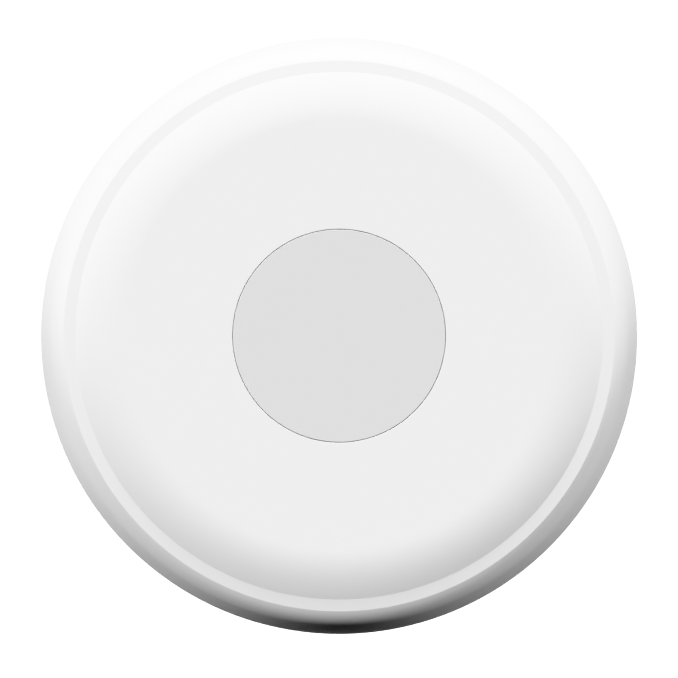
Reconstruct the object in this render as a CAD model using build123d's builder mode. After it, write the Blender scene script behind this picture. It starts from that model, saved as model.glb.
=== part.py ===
from build123d import *

import os
from math import acos, asin, cos, degrees, radians, sin, tan

# A round coin-cell smart button that is pressed in the middle of its face. It lies face up on
# its adhesive pad: +Z is up, +Y is towards the top of its face, and the origin is the middle of
# the pad's underside. Names that end in _r are distances from the axis, and names that end in
# _z are heights above the underside. Every length is in millimetres and every angle in degrees.

# The width of 50 mm isn't set by itself: it is what stands side by side from the axis outwards,
# which is the cell, the door round it, the pinhole, the screws, the spigot and the cover's wall

# Front cover seen from above, from its side inwards, and how far each stretch leans from level
side_width = 0.81
bevel_width = 1.22
land_width = 0.97
dome_width = 4.05
side_angle = 72.5
bevel_angle = 25.0
land_angle = 6.0
dome_angle = 22.0
cover_wall = 1.6
opening_edge = 0.1

# What is stacked under the key, from the pad up, which adds up to the height of 14 mm
pad_thickness = 0.8
door_inset = 0.1
door_thickness = 1.2
door_seat_height = 0.55
cell_play = 0.05
cell_height = 3.2
contact_height = 0.6
board_thickness = 1.0
switch_height = 3.4
plunger_rise = 0.9
key_boss_height = 0.7
key_thickness = 1.5

# Key
key_diameter = 17.8
key_gap = 0.1
key_edge = 0.06
key_travel = 0.4
key_skirt_wall = 1.2
key_skirt_gap = 0.05
flange_width = 1.3
flange_thickness = 0.8
key_boss_diameter = 5.0
guide_gap = 0.1
guide_wall = 1.0
guide_depth = 1.6
key_tab_width = 2.4
key_tab_reach = 0.8
key_tab_gap = 0.1

# Seam between the covers, and the seal in it
base_height = 3.6
base_step = 0.15
base_edge = 0.8
seam_gap = 0.1
seal_height = 0.7
seal_side_gap = 0.08
lip_wall = 0.8
spigot_wall = 1.9
spigot_gap = 0.1
floor_thickness = 1.4

# Screws, their towers in the rear cover and their bosses in the front cover
screw_count = 3
screw_first_angle = 90.0
screw_offset = 2.2
screw_inset = 2.4
screw_length = 6.0
screw_diameter = 2.0
screw_head_diameter = 3.6
screw_head_height = 1.1
screw_recess_width = 0.5
screw_recess_length = 2.0
screw_recess_depth = 0.6
screw_tip = 0.4
thread_gap = 0.04
shank_gap = 0.1
head_gap = 0.2
tower_wall = 1.5
boss_wall = 0.85
boss_shoulder = 0.7
boss_bore_end = 0.8
board_hole_gap = 0.2
board_play = 0.05

# Coin cell
cell_diameter = 20.0
cell_sheet = 0.25
cell_gasket_wall = 0.45
cell_step = 0.3
cell_fit = 0.02

# Battery door, its lugs on a steep thread, and its seal
cell_gap = 0.5
plug_wall = 1.3
well_gap = 0.2
lug_count = 3
lug_reach = 0.9
lug_height = 1.0
lug_arc = 24.0
lug_margin = 0.1
lug_root = 0.3
thread_lead = 12.0
open_angle = 60.0
groove_gap = 0.1
groove_reach_gap = 0.2
groove_end_angle = 2.0
groove_wall = 0.9
cord_diameter = 1.0
cord_plug_gap = 0.05
cord_wall_gap = 0.1
cord_top_gap = 0.05
flange_land = 1.25
door_gap = 0.1
door_edge = 0.2
coin_slot_length = 16.0
coin_slot_width = 2.0
coin_slot_depth = 0.8
mark_diameter = 1.0
mark_depth = 0.2
mark_inset = 1.3

# Pinhole and the block round the well that it passes through
pinhole_diameter = 1.0
pinhole_wall = 0.8
pinhole_angle = 270.0
block_side_wall = 0.7
block_top_wall = 0.45

# Adhesive pad
pad_hole_margin = 0.5
pad_edge_margin = 2.25

# Contact springs
contact_sheet = 0.2
contact_width = 3.0
contact_bite = 0.4
contact_foot = 1.5
contact_count = 2
finger_count = 3
finger_width = 1.6
finger_hub_diameter = 6.0
finger_reach = 4.5

# Circuit board and the parts on it
board_gap = 0.8
shield_size = 9.0
shield_height = 1.6
shield_sheet = 0.2
shield_angle = 150.0
radio_size = 5.0
radio_height = 0.85
antenna_length = 5.0
antenna_width = 2.0
antenna_height = 1.2
antenna_inset = 2.0
antenna_angle = 0.0
crystal_length = 3.2
crystal_width = 2.5
crystal_height = 0.7
crystal_angle = 186.0
power_size = 3.0
power_height = 1.0
power_angle = 270.0
led_size = 1.6
led_base_height = 0.4
led_lens_height = 0.5
led_lens_edge = 0.2
led_angle = 30.0
capacitor_length = 1.6
capacitor_width = 0.8
capacitor_height = 0.8
capacitor_angles = (56, 64, 112, 120, 236, 246, 294, 304)
resistor_length = 1.0
resistor_width = 0.5
resistor_height = 0.35
resistor_angles = (44, 50, 70, 106, 196, 202)

# Silicone boot round the main switch
boot_foot_width = 1.6
boot_foot_height = 0.6
boot_wall = 0.5
boot_lean = 1.4
boot_gap = 2.0
boot_collar_height = 0.9
boot_collar_width = 1.4

# Main switch: four leads, moulded housing, snap dome, plunger and steel cover
switch_side = 6.2
switch_sheet = 0.3
switch_floor = 1.2
switch_cavity_diameter = 5.0
switch_dome_rest = 0.2
switch_dome_sheet = 0.1
switch_plunger_diameter = 3.5
switch_lead_width = 0.7
switch_lead_pitch = 4.5
switch_lead_height = 1.0
switch_lead_run = 0.6
switch_lead_foot = 0.8

# Pairing switch on the underside of the board, behind the pinhole
reset_side = 3.0
reset_height = 1.4
reset_sheet = 0.15
reset_floor = 0.4
reset_cavity_diameter = 2.2
reset_travel = 0.2
reset_dome_rest = 0.05
reset_dome_sheet = 0.08
reset_plunger_diameter = 1.2
reset_plunger_rise = 0.5
reset_lead_width = 0.4
reset_lead_pitch = 2.0
reset_lead_height = 0.5
reset_lead_run = 0.35
reset_lead_foot = 0.4

# Shared by both switches
switch_lead_sheet = 0.15
switch_corner = 0.3
switch_fit = 0.08
plunger_play = 0.05

# How far a cutting shape runs past what it cuts
overrun = 1.0

# Heights
door_z = pad_thickness + door_inset
door_flange_z = door_z + door_thickness
door_seat_z = door_flange_z + door_seat_height
cell_z = door_seat_z + cell_play
cell_top_z = cell_z + cell_height
board_z = cell_top_z + contact_height
board_top_z = board_z + board_thickness
switch_top_z = board_top_z + switch_height
plunger_top_z = switch_top_z + plunger_rise
key_under_z = plunger_top_z + key_boss_height
body_height = key_under_z + key_thickness
cover_under_z = body_height - cover_wall
key_flange_top_z = cover_under_z - key_skirt_gap
key_flange_z = key_flange_top_z - flange_thickness
floor_z = pad_thickness + floor_thickness
ledge_z = pad_thickness + base_height
seam_z = ledge_z + seam_gap
seal_top_z = ledge_z + seal_height
tower_z = seam_z
screw_seat_z = door_z + screw_head_height
screw_tip_z = screw_seat_z + screw_length
boss_bore_z = screw_tip_z + boss_bore_end
boss_shoulder_z = board_top_z + board_play
cord_top_z = door_flange_z + cord_diameter
cord_recess_z = cord_top_z + cord_top_gap
block_z = cord_recess_z + block_top_wall
lug_low_z = cord_top_z + lug_margin + lug_height / 2
lug_rise = thread_lead * lug_arc / 360
plug_top_z = lug_low_z + lug_rise + lug_height / 2 + lug_margin

# Distances from the axis, from the cell outwards
cell_r = cell_diameter / 2
plug_inner_r = cell_r + cell_gap
plug_r = plug_inner_r + plug_wall
well_r = plug_r + well_gap
lug_r = plug_r + lug_reach
groove_r = lug_r + groove_reach_gap
well_wall_r = groove_r + groove_wall
cord_r = plug_r + cord_plug_gap + cord_diameter / 2
cord_recess_r = plug_r + cord_plug_gap + cord_diameter + cord_wall_gap
door_r = cord_recess_r + flange_land
door_recess_r = door_r + door_gap
pinhole_r = door_recess_r + pinhole_wall + pinhole_diameter / 2
pad_inner_r = pinhole_r + pinhole_diameter / 2 + pad_hole_margin
block_r = pinhole_r + pinhole_diameter / 2 + block_side_wall
screw_r = block_r + screw_offset
spigot_inner_r = screw_r + screw_inset
spigot_r = spigot_inner_r + spigot_wall
skirt_r = spigot_r + spigot_gap
board_r = skirt_r - board_gap
body_r = skirt_r + cover_wall
lip_r = body_r - lip_wall
base_r = body_r - base_step
pad_outer_r = base_r - pad_edge_margin

# Distances from the axis, of the front cover, the key and what is under it
side_r = body_r - side_width
land_r = side_r - bevel_width
dome_r = land_r - land_width
flat_r = dome_r - dome_width
key_r = key_diameter / 2
opening_r = key_r + key_gap
key_flange_r = key_r + flange_width
guide_r = key_flange_r + guide_gap
boot_collar_r = switch_side / 2 + boot_gap
boot_r = boot_collar_r + boot_lean + boot_foot_width
parts_r = (boot_r + board_r) / 2

# Radii of the screws, their bosses and their towers
screw_shaft_r = screw_diameter / 2
boss_r = screw_shaft_r + thread_gap + boss_wall
boss_shoulder_r = boss_r + boss_shoulder
head_bore_r = screw_head_diameter / 2 + head_gap
shank_bore_r = screw_shaft_r + shank_gap
tower_r = shank_bore_r + tower_wall

# Arcs of the front cover's dome, bevel and side: radius, and the middle's distance and height
dome_arc = dome_width / sin(radians(dome_angle))
dome_arc_z = body_height - dome_arc
dome_edge_z = dome_arc_z + dome_arc * cos(radians(dome_angle))
land_z = dome_edge_z - land_width * tan(radians(land_angle))
bevel_arc = bevel_width / (sin(radians(side_angle)) - sin(radians(bevel_angle)))
bevel_arc_r = side_r - bevel_arc * sin(radians(side_angle))
bevel_arc_z = land_z - bevel_arc * cos(radians(bevel_angle))
side_arc = side_width / (1 - sin(radians(side_angle)))
side_arc_r = body_r - side_arc
side_arc_z = bevel_arc_z + (bevel_arc - side_arc) * cos(radians(side_angle))

os.makedirs("parts", exist_ok=True)


def keep(part, name):
    """Labels a finished piece and writes its STEP file."""
    part.label = name
    export_step(part, f"parts/{name}.step")


def on_arc(middle_r, middle_z, radius, angle):
    """The point of an upright arc whose surface leans outwards by an angle from level."""
    return (middle_r + radius * sin(radians(angle)), middle_z + radius * cos(radians(angle)))


def turned(*outlines):
    """A ring or disc about the button's axis, from outlines of (distance, height) points."""
    with BuildPart() as piece:
        with BuildSketch(Plane.XZ):
            for points in outlines:
                with BuildLine():
                    Polyline(*points, close=True)
                make_face()
        revolve(axis=Axis.Z)
    return piece.part


def band(inner_r, outer_r, low_z, high_z):
    """The outline of a plain ring, or of a disc where the inner distance is zero."""
    return ((inner_r, low_z), (outer_r, low_z), (outer_r, high_z), (inner_r, high_z))


def cover_outline(inset):
    """The lines and arcs of the front cover's section from its axis to its side, moved in."""
    top = (0, body_height - inset)
    flat_end = (flat_r, body_height - inset)
    dome_middle = on_arc(flat_r, dome_arc_z, dome_arc - inset, dome_angle / 2)
    dome_end = on_arc(flat_r, dome_arc_z, dome_arc - inset, dome_angle)
    bevel_start = on_arc(bevel_arc_r, bevel_arc_z, bevel_arc - inset, bevel_angle)
    bevel_middle_angle = (bevel_angle + side_angle) / 2
    bevel_middle = on_arc(bevel_arc_r, bevel_arc_z, bevel_arc - inset, bevel_middle_angle)
    bevel_end = on_arc(bevel_arc_r, bevel_arc_z, bevel_arc - inset, side_angle)
    side_middle = on_arc(side_arc_r, side_arc_z, side_arc - inset, (side_angle + 90) / 2)
    side_end = (body_r - inset, side_arc_z)
    Line(top, flat_end)
    ThreePointArc(flat_end, dome_middle, dome_end)
    Line(dome_end, bevel_start)
    ThreePointArc(bevel_start, bevel_middle, bevel_end)
    ThreePointArc(bevel_end, side_middle, side_end)
    return side_end


# Front cover: the room inside it, with the bosses left standing, is cut from the outer form
with BuildPart() as cover_room:
    with BuildSketch(Plane.XZ):
        with BuildLine():
            side = cover_outline(cover_wall)
            floor_points = (
                side,
                (skirt_r, seal_top_z),
                (lip_r, seal_top_z),
                (lip_r, seam_z - overrun),
                (0, seam_z - overrun),
                (0, cover_under_z),
            )
            Polyline(*floor_points)
        make_face()
    revolve(axis=Axis.Z)
    with BuildSketch(Plane.XY.offset(boss_shoulder_z)):
        with PolarLocations(screw_r, screw_count, start_angle=screw_first_angle):
            Circle(boss_shoulder_r)
        Circle(guide_r + guide_wall)
        Circle(guide_r, mode=Mode.SUBTRACT)
    extrude(amount=body_height - boss_shoulder_z, mode=Mode.SUBTRACT)
    with BuildSketch(Plane.XY.offset(tower_z)):
        with PolarLocations(screw_r, screw_count, start_angle=screw_first_angle):
            Circle(boss_r)
    extrude(amount=boss_shoulder_z - tower_z, mode=Mode.SUBTRACT)
    with BuildSketch(Plane.XY.offset(cover_under_z - guide_depth)):
        Circle(guide_r + guide_wall)
    extrude(amount=boss_shoulder_z - cover_under_z + guide_depth)

with BuildPart() as front_cover:
    with BuildSketch(Plane.XZ):
        with BuildLine():
            side = cover_outline(0)
            Polyline(side, (body_r, seam_z), (0, seam_z), (0, body_height))
        make_face()
    revolve(axis=Axis.Z)
    add(cover_room.part, mode=Mode.SUBTRACT)
    with BuildSketch(Plane.XY.offset(tower_z)):
        with PolarLocations(screw_r, screw_count, start_angle=screw_first_angle):
            Circle(screw_shaft_r + thread_gap)
    extrude(amount=boss_bore_z - tower_z, mode=Mode.SUBTRACT)
    with BuildSketch(Plane.XY.offset(cover_under_z - guide_depth)):
        Rectangle(2 * (guide_r + guide_wall + overrun), key_tab_width + 2 * key_tab_gap)
    extrude(amount=guide_depth, mode=Mode.SUBTRACT)
    with BuildSketch(Plane.XY.offset(cover_under_z)):
        Circle(opening_r)
    extrude(amount=cover_wall, mode=Mode.SUBTRACT)
    rim = front_cover.edges().filter_by(GeomType.CIRCLE).group_by(Axis.Z)[-1].sort_by(SortBy.RADIUS)[0]
    fillet(rim, opening_edge)
keep(front_cover.part, "front_cover")

# Key: a flat disc with a skirt, a retaining flange, two tabs and a boss over the switch
with BuildPart() as key_cap:
    with BuildSketch(Plane.XZ):
        with BuildLine():
            Polyline(
                (0, plunger_top_z),
                (key_boss_diameter / 2, plunger_top_z),
                (key_boss_diameter / 2, key_under_z),
                (key_r - key_skirt_wall, key_under_z),
                (key_r - key_skirt_wall, key_flange_z),
                (key_flange_r, key_flange_z),
                (key_flange_r, key_flange_top_z),
                (key_r, key_flange_top_z),
                (key_r, body_height),
                (0, body_height),
                close=True,
            )
        make_face()
    revolve(axis=Axis.Z)
    with BuildSketch(Plane.XY.offset(key_flange_z)):
        Rectangle(2 * (key_flange_r + key_tab_reach), key_tab_width)
        Circle(key_r, mode=Mode.SUBTRACT)
    extrude(amount=flange_thickness)
    face_rim = key_cap.edges().filter_by(GeomType.CIRCLE).group_by(Axis.Z)[-1]
    fillet(face_rim, key_edge)
keep(key_cap.part, "key_cap")

# Silicone boot: a foot on the board, a leaning wall and a collar under the key
boot_foot_top_z = board_top_z + boot_foot_height
boot_collar_z = key_under_z - boot_collar_height
boot_outline = (
    (boot_r - boot_foot_width, board_top_z),
    (boot_r, board_top_z),
    (boot_r, boot_foot_top_z),
    (boot_r - boot_foot_width + boot_wall, boot_foot_top_z),
    (boot_collar_r + boot_wall, boot_collar_z),
    (boot_collar_r + boot_wall, key_under_z),
    (boot_collar_r + boot_wall - boot_collar_width, key_under_z),
    (boot_collar_r + boot_wall - boot_collar_width, boot_collar_z + boot_wall),
    (boot_collar_r, boot_collar_z),
    (boot_r - boot_foot_width, boot_foot_top_z),
)
keep(turned(boot_outline), "return_boot")

# Rear cover: floor, wall, spigot, well with a block round its foot, towers, bores and grooves
def thread_block(inner_r, outer_r, height, arc, low_z):
    """A bar that follows the door's thread: a rectangle carried up a helix from the X axis."""
    with BuildPart() as block:
        with BuildLine() as path:
            Helix(thread_lead, thread_lead * arc / 360, inner_r, center=(0, 0, low_z))
        start = Plane(origin=path.line @ 0, x_dir=(1, 0, 0), z_dir=path.line % 0)
        with BuildSketch(start):
            Rectangle(outer_r - inner_r, height, align=(Align.MIN, Align.CENTER))
        sweep(path=path.line, is_frenet=True)
    return block.part


groove_arc = lug_arc + open_angle + 2 * groove_end_angle
groove_back = open_angle + groove_end_angle
groove = thread_block(
    well_r - lug_root,
    groove_r,
    lug_height + 2 * groove_gap,
    groove_arc,
    lug_low_z - thread_lead * groove_back / 360,
)

with BuildPart() as rear_cover:
    with BuildSketch(Plane.XZ):
        with BuildLine():
            Polyline(
                (door_recess_r, pad_thickness),
                (base_r, pad_thickness),
                (base_r, ledge_z),
                (spigot_r, ledge_z),
                (spigot_r, board_z),
                (spigot_inner_r, board_z),
                (spigot_inner_r, floor_z),
                (block_r, floor_z),
                (block_r, block_z),
                (well_wall_r, block_z),
                (well_wall_r, board_z),
                (well_r, board_z),
                (well_r, cord_recess_z),
                (cord_recess_r, cord_recess_z),
                (cord_recess_r, door_flange_z),
                (door_recess_r, door_flange_z),
                close=True,
            )
        make_face()
    revolve(axis=Axis.Z)
    foot_rim = rear_cover.edges().filter_by(GeomType.CIRCLE).group_by(Axis.Z)[0].sort_by(SortBy.RADIUS)[-1]
    fillet(foot_rim, base_edge)
    with BuildSketch(Plane.XY.offset(pad_thickness)):
        with PolarLocations(screw_r, screw_count, start_angle=screw_first_angle):
            Circle(tower_r)
    extrude(amount=tower_z - pad_thickness)
    with BuildSketch(Plane.XY.offset(pad_thickness)):
        with PolarLocations(screw_r, screw_count, start_angle=screw_first_angle):
            Circle(head_bore_r)
    extrude(amount=screw_seat_z - pad_thickness, mode=Mode.SUBTRACT)
    with BuildSketch(Plane.XY.offset(pad_thickness)):
        with PolarLocations(screw_r, screw_count, start_angle=screw_first_angle):
            Circle(shank_bore_r)
        with PolarLocations(pinhole_r, 1, start_angle=pinhole_angle):
            Circle(pinhole_diameter / 2)
    extrude(amount=tower_z - pad_thickness, mode=Mode.SUBTRACT)
    with BuildSketch(Plane.XY.offset(pad_thickness)):
        with PolarLocations(pinhole_r, 2, start_angle=-open_angle, angular_range=2 * open_angle):
            Circle(mark_diameter / 2)
    extrude(amount=mark_depth, mode=Mode.SUBTRACT)
    with PolarLocations(0, lug_count, start_angle=-groove_back - lug_arc / 2):
        add(groove, mode=Mode.SUBTRACT)
keep(rear_cover.part, "rear_cover")

# Battery door: flange with a coin slot, a seat for the cell, a plug and its lugs
lug = thread_block(plug_r - lug_root, lug_r, lug_height, lug_arc, lug_low_z)
with BuildPart() as battery_door:
    with BuildSketch(Plane.XZ):
        with BuildLine():
            Polyline(
                (0, door_z),
                (door_r, door_z),
                (door_r, door_flange_z),
                (plug_r, door_flange_z),
                (plug_r, plug_top_z),
                (plug_inner_r, plug_top_z),
                (plug_inner_r, door_seat_z),
                (0, door_seat_z),
                close=True,
            )
        make_face()
    revolve(axis=Axis.Z)
    chamfer(battery_door.edges().filter_by(GeomType.CIRCLE).group_by(Axis.Z)[0], door_edge)
    with BuildSketch(Plane.XY.offset(door_z)):
        SlotOverall(coin_slot_length, coin_slot_width)
    extrude(amount=coin_slot_depth, mode=Mode.SUBTRACT)
    with BuildSketch(Plane.XY.offset(door_z)):
        with Locations((door_r - mark_inset, 0)):
            Circle(mark_diameter / 2)
    extrude(amount=mark_depth, mode=Mode.SUBTRACT)
    with PolarLocations(0, lug_count, start_angle=-lug_arc / 2):
        add(lug)
keep(battery_door.part, "battery_door")

# Door seal: an O-ring at the root of the plug
with BuildPart() as door_seal:
    with BuildSketch(Plane.XZ):
        with Locations((cord_r, door_flange_z + cord_diameter / 2)):
            Circle(cord_diameter / 2)
    revolve(axis=Axis.Z)
keep(door_seal.part, "door_seal")

# Adhesive pad, and the seal between the covers
keep(turned(band(pad_inner_r, pad_outer_r, 0, pad_thickness)), "adhesive_pad")
case_seal_outline = band(skirt_r + seal_side_gap, lip_r - seal_side_gap, ledge_z, seal_top_z)
keep(turned(case_seal_outline), "case_seal")

# Screws: pan head with a cross recess, and a plain shank with a pointed tip
with BuildPart() as screw:
    with BuildSketch(Plane.XZ):
        with BuildLine():
            Polyline(
                (0, door_z),
                (screw_head_diameter / 2, door_z),
                (screw_head_diameter / 2, screw_seat_z),
                (screw_shaft_r, screw_seat_z),
                (screw_shaft_r, screw_tip_z - screw_tip),
                (screw_shaft_r - screw_tip, screw_tip_z),
                (0, screw_tip_z),
                close=True,
            )
        make_face()
    revolve(axis=Axis.Z)
    with BuildSketch(Plane.XY.offset(door_z)):
        Rectangle(screw_recess_length, screw_recess_width)
        Rectangle(screw_recess_width, screw_recess_length)
    extrude(amount=screw_recess_depth, mode=Mode.SUBTRACT)

with BuildPart() as case_screws:
    with PolarLocations(screw_r, screw_count, start_angle=screw_first_angle):
        add(screw.part)
keep(case_screws.part, "case_screws")

# Coin cell: can, gasket, cap and the electrodes between them, each inside the one before
gasket_r = cell_r - cell_sheet - cell_fit
cap_r = gasket_r - cell_gasket_wall - cell_fit
can_top_z = cell_top_z - cell_step
gasket_z = cell_z + cell_sheet
cap_low_z = gasket_z + cell_step
core_r = cap_r - cell_sheet - cell_fit
can_outline = (
    (0, cell_z),
    (cell_r, cell_z),
    (cell_r, can_top_z),
    (cell_r - cell_sheet, can_top_z),
    (cell_r - cell_sheet, gasket_z),
    (0, gasket_z),
)
keep(turned(can_outline), "cell_can")
gasket_outline = (
    (cap_r - cell_sheet, gasket_z),
    (gasket_r, gasket_z),
    (gasket_r, can_top_z),
    (gasket_r - cell_gasket_wall, can_top_z),
    (gasket_r - cell_gasket_wall, cap_low_z),
    (cap_r - cell_sheet, cap_low_z),
)
keep(turned(gasket_outline), "cell_gasket")
cap_outline = (
    (0, cell_top_z - cell_sheet),
    (cap_r - cell_sheet, cell_top_z - cell_sheet),
    (cap_r - cell_sheet, cap_low_z),
    (cap_r, cap_low_z),
    (cap_r, cell_top_z),
    (0, cell_top_z),
)
keep(turned(cap_outline), "cell_cap")
keep(turned(band(0, core_r, gasket_z, cell_top_z - cell_sheet)), "cell_core")

# Positive contacts: leaves that hang from the board and press on the side of the can
contact_low_z = can_top_z - contact_bite
contact_r = cell_r + cell_fit
with BuildPart() as positive_leaf:
    with BuildSketch(Plane.XZ):
        with BuildLine():
            Polyline(
                (contact_r, contact_low_z),
                (contact_r + contact_sheet, contact_low_z),
                (contact_r + contact_sheet, board_z - contact_sheet),
                (contact_r + contact_foot, board_z - contact_sheet),
                (contact_r + contact_foot, board_z),
                (contact_r, board_z),
                close=True,
            )
        make_face()
    extrude(amount=contact_width / 2, both=True)

with BuildPart() as positive_contact:
    with PolarLocations(0, contact_count):
        add(positive_leaf.part)
keep(positive_contact.part, "positive_contact")

# Negative contact: a hub under the board with fingers that slope down to the cap
finger_start_r = finger_hub_diameter / 2
with BuildPart() as finger:
    with BuildSketch(Plane.XZ):
        with BuildLine():
            Polyline(
                (0, board_z - contact_sheet),
                (finger_start_r, board_z - contact_sheet),
                (finger_start_r + finger_reach, cell_top_z),
                (finger_start_r + finger_reach, cell_top_z + contact_sheet),
                (finger_start_r, board_z),
                (0, board_z),
                close=True,
            )
        make_face()
    extrude(amount=finger_width / 2, both=True)

with BuildPart() as negative_contact:
    with BuildSketch(Plane.XY.offset(board_z - contact_sheet)):
        Circle(finger_start_r)
    extrude(amount=contact_sheet)
    with PolarLocations(0, finger_count, start_angle=screw_first_angle):
        add(finger.part)
keep(negative_contact.part, "negative_contact")

# Circuit board: a disc with holes for the bosses
with BuildPart() as circuit_board:
    with BuildSketch(Plane.XY.offset(board_z)):
        Circle(board_r)
        with PolarLocations(screw_r, screw_count, start_angle=screw_first_angle):
            Circle(boss_r + board_hole_gap, mode=Mode.SUBTRACT)
    extrude(amount=board_thickness)
keep(circuit_board.part, "circuit_board")


# Parts soldered to the top of the board, on circles round its middle
def chips(length, width, height, circle_r, angles):
    """Blocks that stand on the board on a circle, their width outwards and length across."""
    with BuildPart() as blocks:
        with BuildSketch(Plane.XY.offset(board_top_z)):
            for angle in angles:
                with PolarLocations(circle_r, 1, start_angle=angle):
                    Rectangle(width, length)
        extrude(amount=height)
    return blocks.part


antenna_r = board_r - antenna_inset
keep(chips(radio_size, radio_size, radio_height, parts_r, (shield_angle,)), "radio_chip")
keep(chips(antenna_length, antenna_width, antenna_height, antenna_r, (antenna_angle,)), "antenna")
keep(chips(crystal_length, crystal_width, crystal_height, parts_r, (crystal_angle,)), "crystal")
keep(chips(power_size, power_size, power_height, parts_r, (power_angle,)), "power_chip")
capacitors = chips(capacitor_length, capacitor_width, capacitor_height, parts_r, capacitor_angles)
keep(capacitors, "capacitors")
resistors = chips(resistor_length, resistor_width, resistor_height, parts_r, resistor_angles)
keep(resistors, "resistors")

with BuildPart() as shield_can:
    with BuildSketch(Plane.XY.offset(board_top_z)):
        with PolarLocations(parts_r, 1, start_angle=shield_angle):
            Rectangle(shield_size, shield_size)
    extrude(amount=shield_height)
    with BuildSketch(Plane.XY.offset(board_top_z)):
        with PolarLocations(parts_r, 1, start_angle=shield_angle):
            Rectangle(shield_size - 2 * shield_sheet, shield_size - 2 * shield_sheet)
    extrude(amount=shield_height - shield_sheet, mode=Mode.SUBTRACT)
keep(shield_can.part, "shield_can")

with BuildPart() as indicator_led:
    with BuildSketch(Plane.XY.offset(board_top_z)):
        with PolarLocations(parts_r, 1, start_angle=led_angle):
            Rectangle(led_size, led_size)
    extrude(amount=led_base_height)
    with BuildSketch(Plane.XY.offset(board_top_z + led_base_height)):
        with PolarLocations(parts_r, 1, start_angle=led_angle):
            Circle(led_size / 2 - led_lens_edge)
    extrude(amount=led_lens_height)
    fillet(indicator_led.edges().group_by(Axis.Z)[-1], led_lens_edge)
keep(indicator_led.part, "indicator_led")


# Tactile switches, each built upwards from the side of the board that it is soldered to
def upright(seat):
    """The plane through a seat's axis, with its x outwards and its y along the axis."""
    return Plane(origin=seat.origin, x_dir=seat.x_dir, z_dir=seat.x_dir.cross(seat.z_dir))


def tact_housing(seat, side, height, floor, cavity_diameter):
    """The moulded base: a square block with a round cavity that is open at the top."""
    with BuildPart() as housing:
        with BuildSketch(seat):
            RectangleRounded(side, side, switch_corner)
        extrude(amount=height)
        with BuildSketch(seat.offset(floor)):
            Circle(cavity_diameter / 2)
        extrude(amount=height - floor, mode=Mode.SUBTRACT)
    return housing.part


def tact_cover(seat, side, low, sheet, hole_diameter):
    """The stamped steel plate over the cavity, with a hole for the plunger."""
    with BuildPart() as cover:
        with BuildSketch(seat.offset(low)):
            RectangleRounded(side, side, switch_corner)
            Circle(hole_diameter / 2, mode=Mode.SUBTRACT)
        extrude(amount=sheet)
    return cover.part


def tact_dome(seat, foot, diameter, rise, sheet):
    """The snap dome: a shallow cap of thin sheet that stands on the cavity's floor."""
    outer_r = diameter / 2
    arc = (outer_r**2 + rise**2) / (2 * rise)
    middle_z = foot + rise - arc
    outer_angle = degrees(asin(outer_r / arc))
    inner_angle = degrees(acos((arc - rise) / (arc - sheet)))
    outer_top = on_arc(0, middle_z, arc, 0)
    outer_end = on_arc(0, middle_z, arc, outer_angle)
    inner_end = on_arc(0, middle_z, arc - sheet, inner_angle)
    inner_top = on_arc(0, middle_z, arc - sheet, 0)
    with BuildPart() as dome:
        with BuildSketch(upright(seat)):
            with BuildLine():
                ThreePointArc(outer_top, on_arc(0, middle_z, arc, outer_angle / 2), outer_end)
                Line(outer_end, inner_end)
                ThreePointArc(
                    inner_end, on_arc(0, middle_z, arc - sheet, inner_angle / 2), inner_top
                )
                Line(inner_top, outer_top)
            make_face()
        revolve(axis=Axis(seat.origin, seat.z_dir))
    return dome.part


def tact_plunger(seat, low, shoulder, top, flange_diameter, stem_diameter):
    """The plunger: a flange that the cover holds in, and a stem that passes through it."""
    with BuildPart() as plunger:
        with BuildSketch(seat.offset(low)):
            Circle(flange_diameter / 2)
        extrude(amount=shoulder - low)
        with BuildSketch(seat.offset(low)):
            Circle(stem_diameter / 2)
        extrude(amount=top - low)
    return plunger.part


def tact_leads(seat, side, width, pitch, height, run, foot):
    """Four bent leads, two on each side, with their feet flat on the board."""
    out = side / 2
    sheet = switch_lead_sheet
    with BuildPart() as pair:
        for place in (-pitch / 2, pitch / 2):
            with BuildSketch(Plane.XZ.offset(place)):
                with BuildLine():
                    Polyline(
                        (out, height),
                        (out + run, height),
                        (out + run, sheet),
                        (out + run + foot, sheet),
                        (out + run + foot, 0),
                        (out + run - sheet, 0),
                        (out + run - sheet, height - sheet),
                        (out, height - sheet),
                        close=True,
                    )
                make_face()
        extrude(amount=width / 2, both=True)
    with BuildPart(seat) as leads:
        with PolarLocations(0, 2):
            add(pair.part)
    return leads.part


# Main switch, in the middle of the top of the board
switch_seat = Plane.XY.offset(board_top_z)
switch_dome_height = switch_dome_rest + key_travel
switch_cover_low = switch_height - switch_sheet
switch_dome_top = switch_floor + switch_dome_height
switch_flange_diameter = switch_cavity_diameter - 2 * switch_fit
switch_hole_diameter = switch_plunger_diameter + 2 * switch_fit
switch_housing = tact_housing(
    switch_seat, switch_side, switch_cover_low, switch_floor, switch_cavity_diameter
)
keep(switch_housing, "switch_housing")
switch_dome = tact_dome(
    switch_seat, switch_floor, switch_flange_diameter, switch_dome_height, switch_dome_sheet
)
keep(switch_dome, "switch_dome")
switch_plunger = tact_plunger(
    switch_seat,
    switch_dome_top,
    switch_cover_low - plunger_play,
    switch_height + plunger_rise,
    switch_flange_diameter,
    switch_plunger_diameter,
)
keep(switch_plunger, "switch_plunger")
switch_cover = tact_cover(
    switch_seat, switch_side, switch_cover_low, switch_sheet, switch_hole_diameter
)
keep(switch_cover, "switch_cover")
switch_terminals = tact_leads(
    switch_seat,
    switch_side,
    switch_lead_width,
    switch_lead_pitch,
    switch_lead_height,
    switch_lead_run,
    switch_lead_foot,
)
keep(switch_terminals, "switch_terminals")

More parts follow.
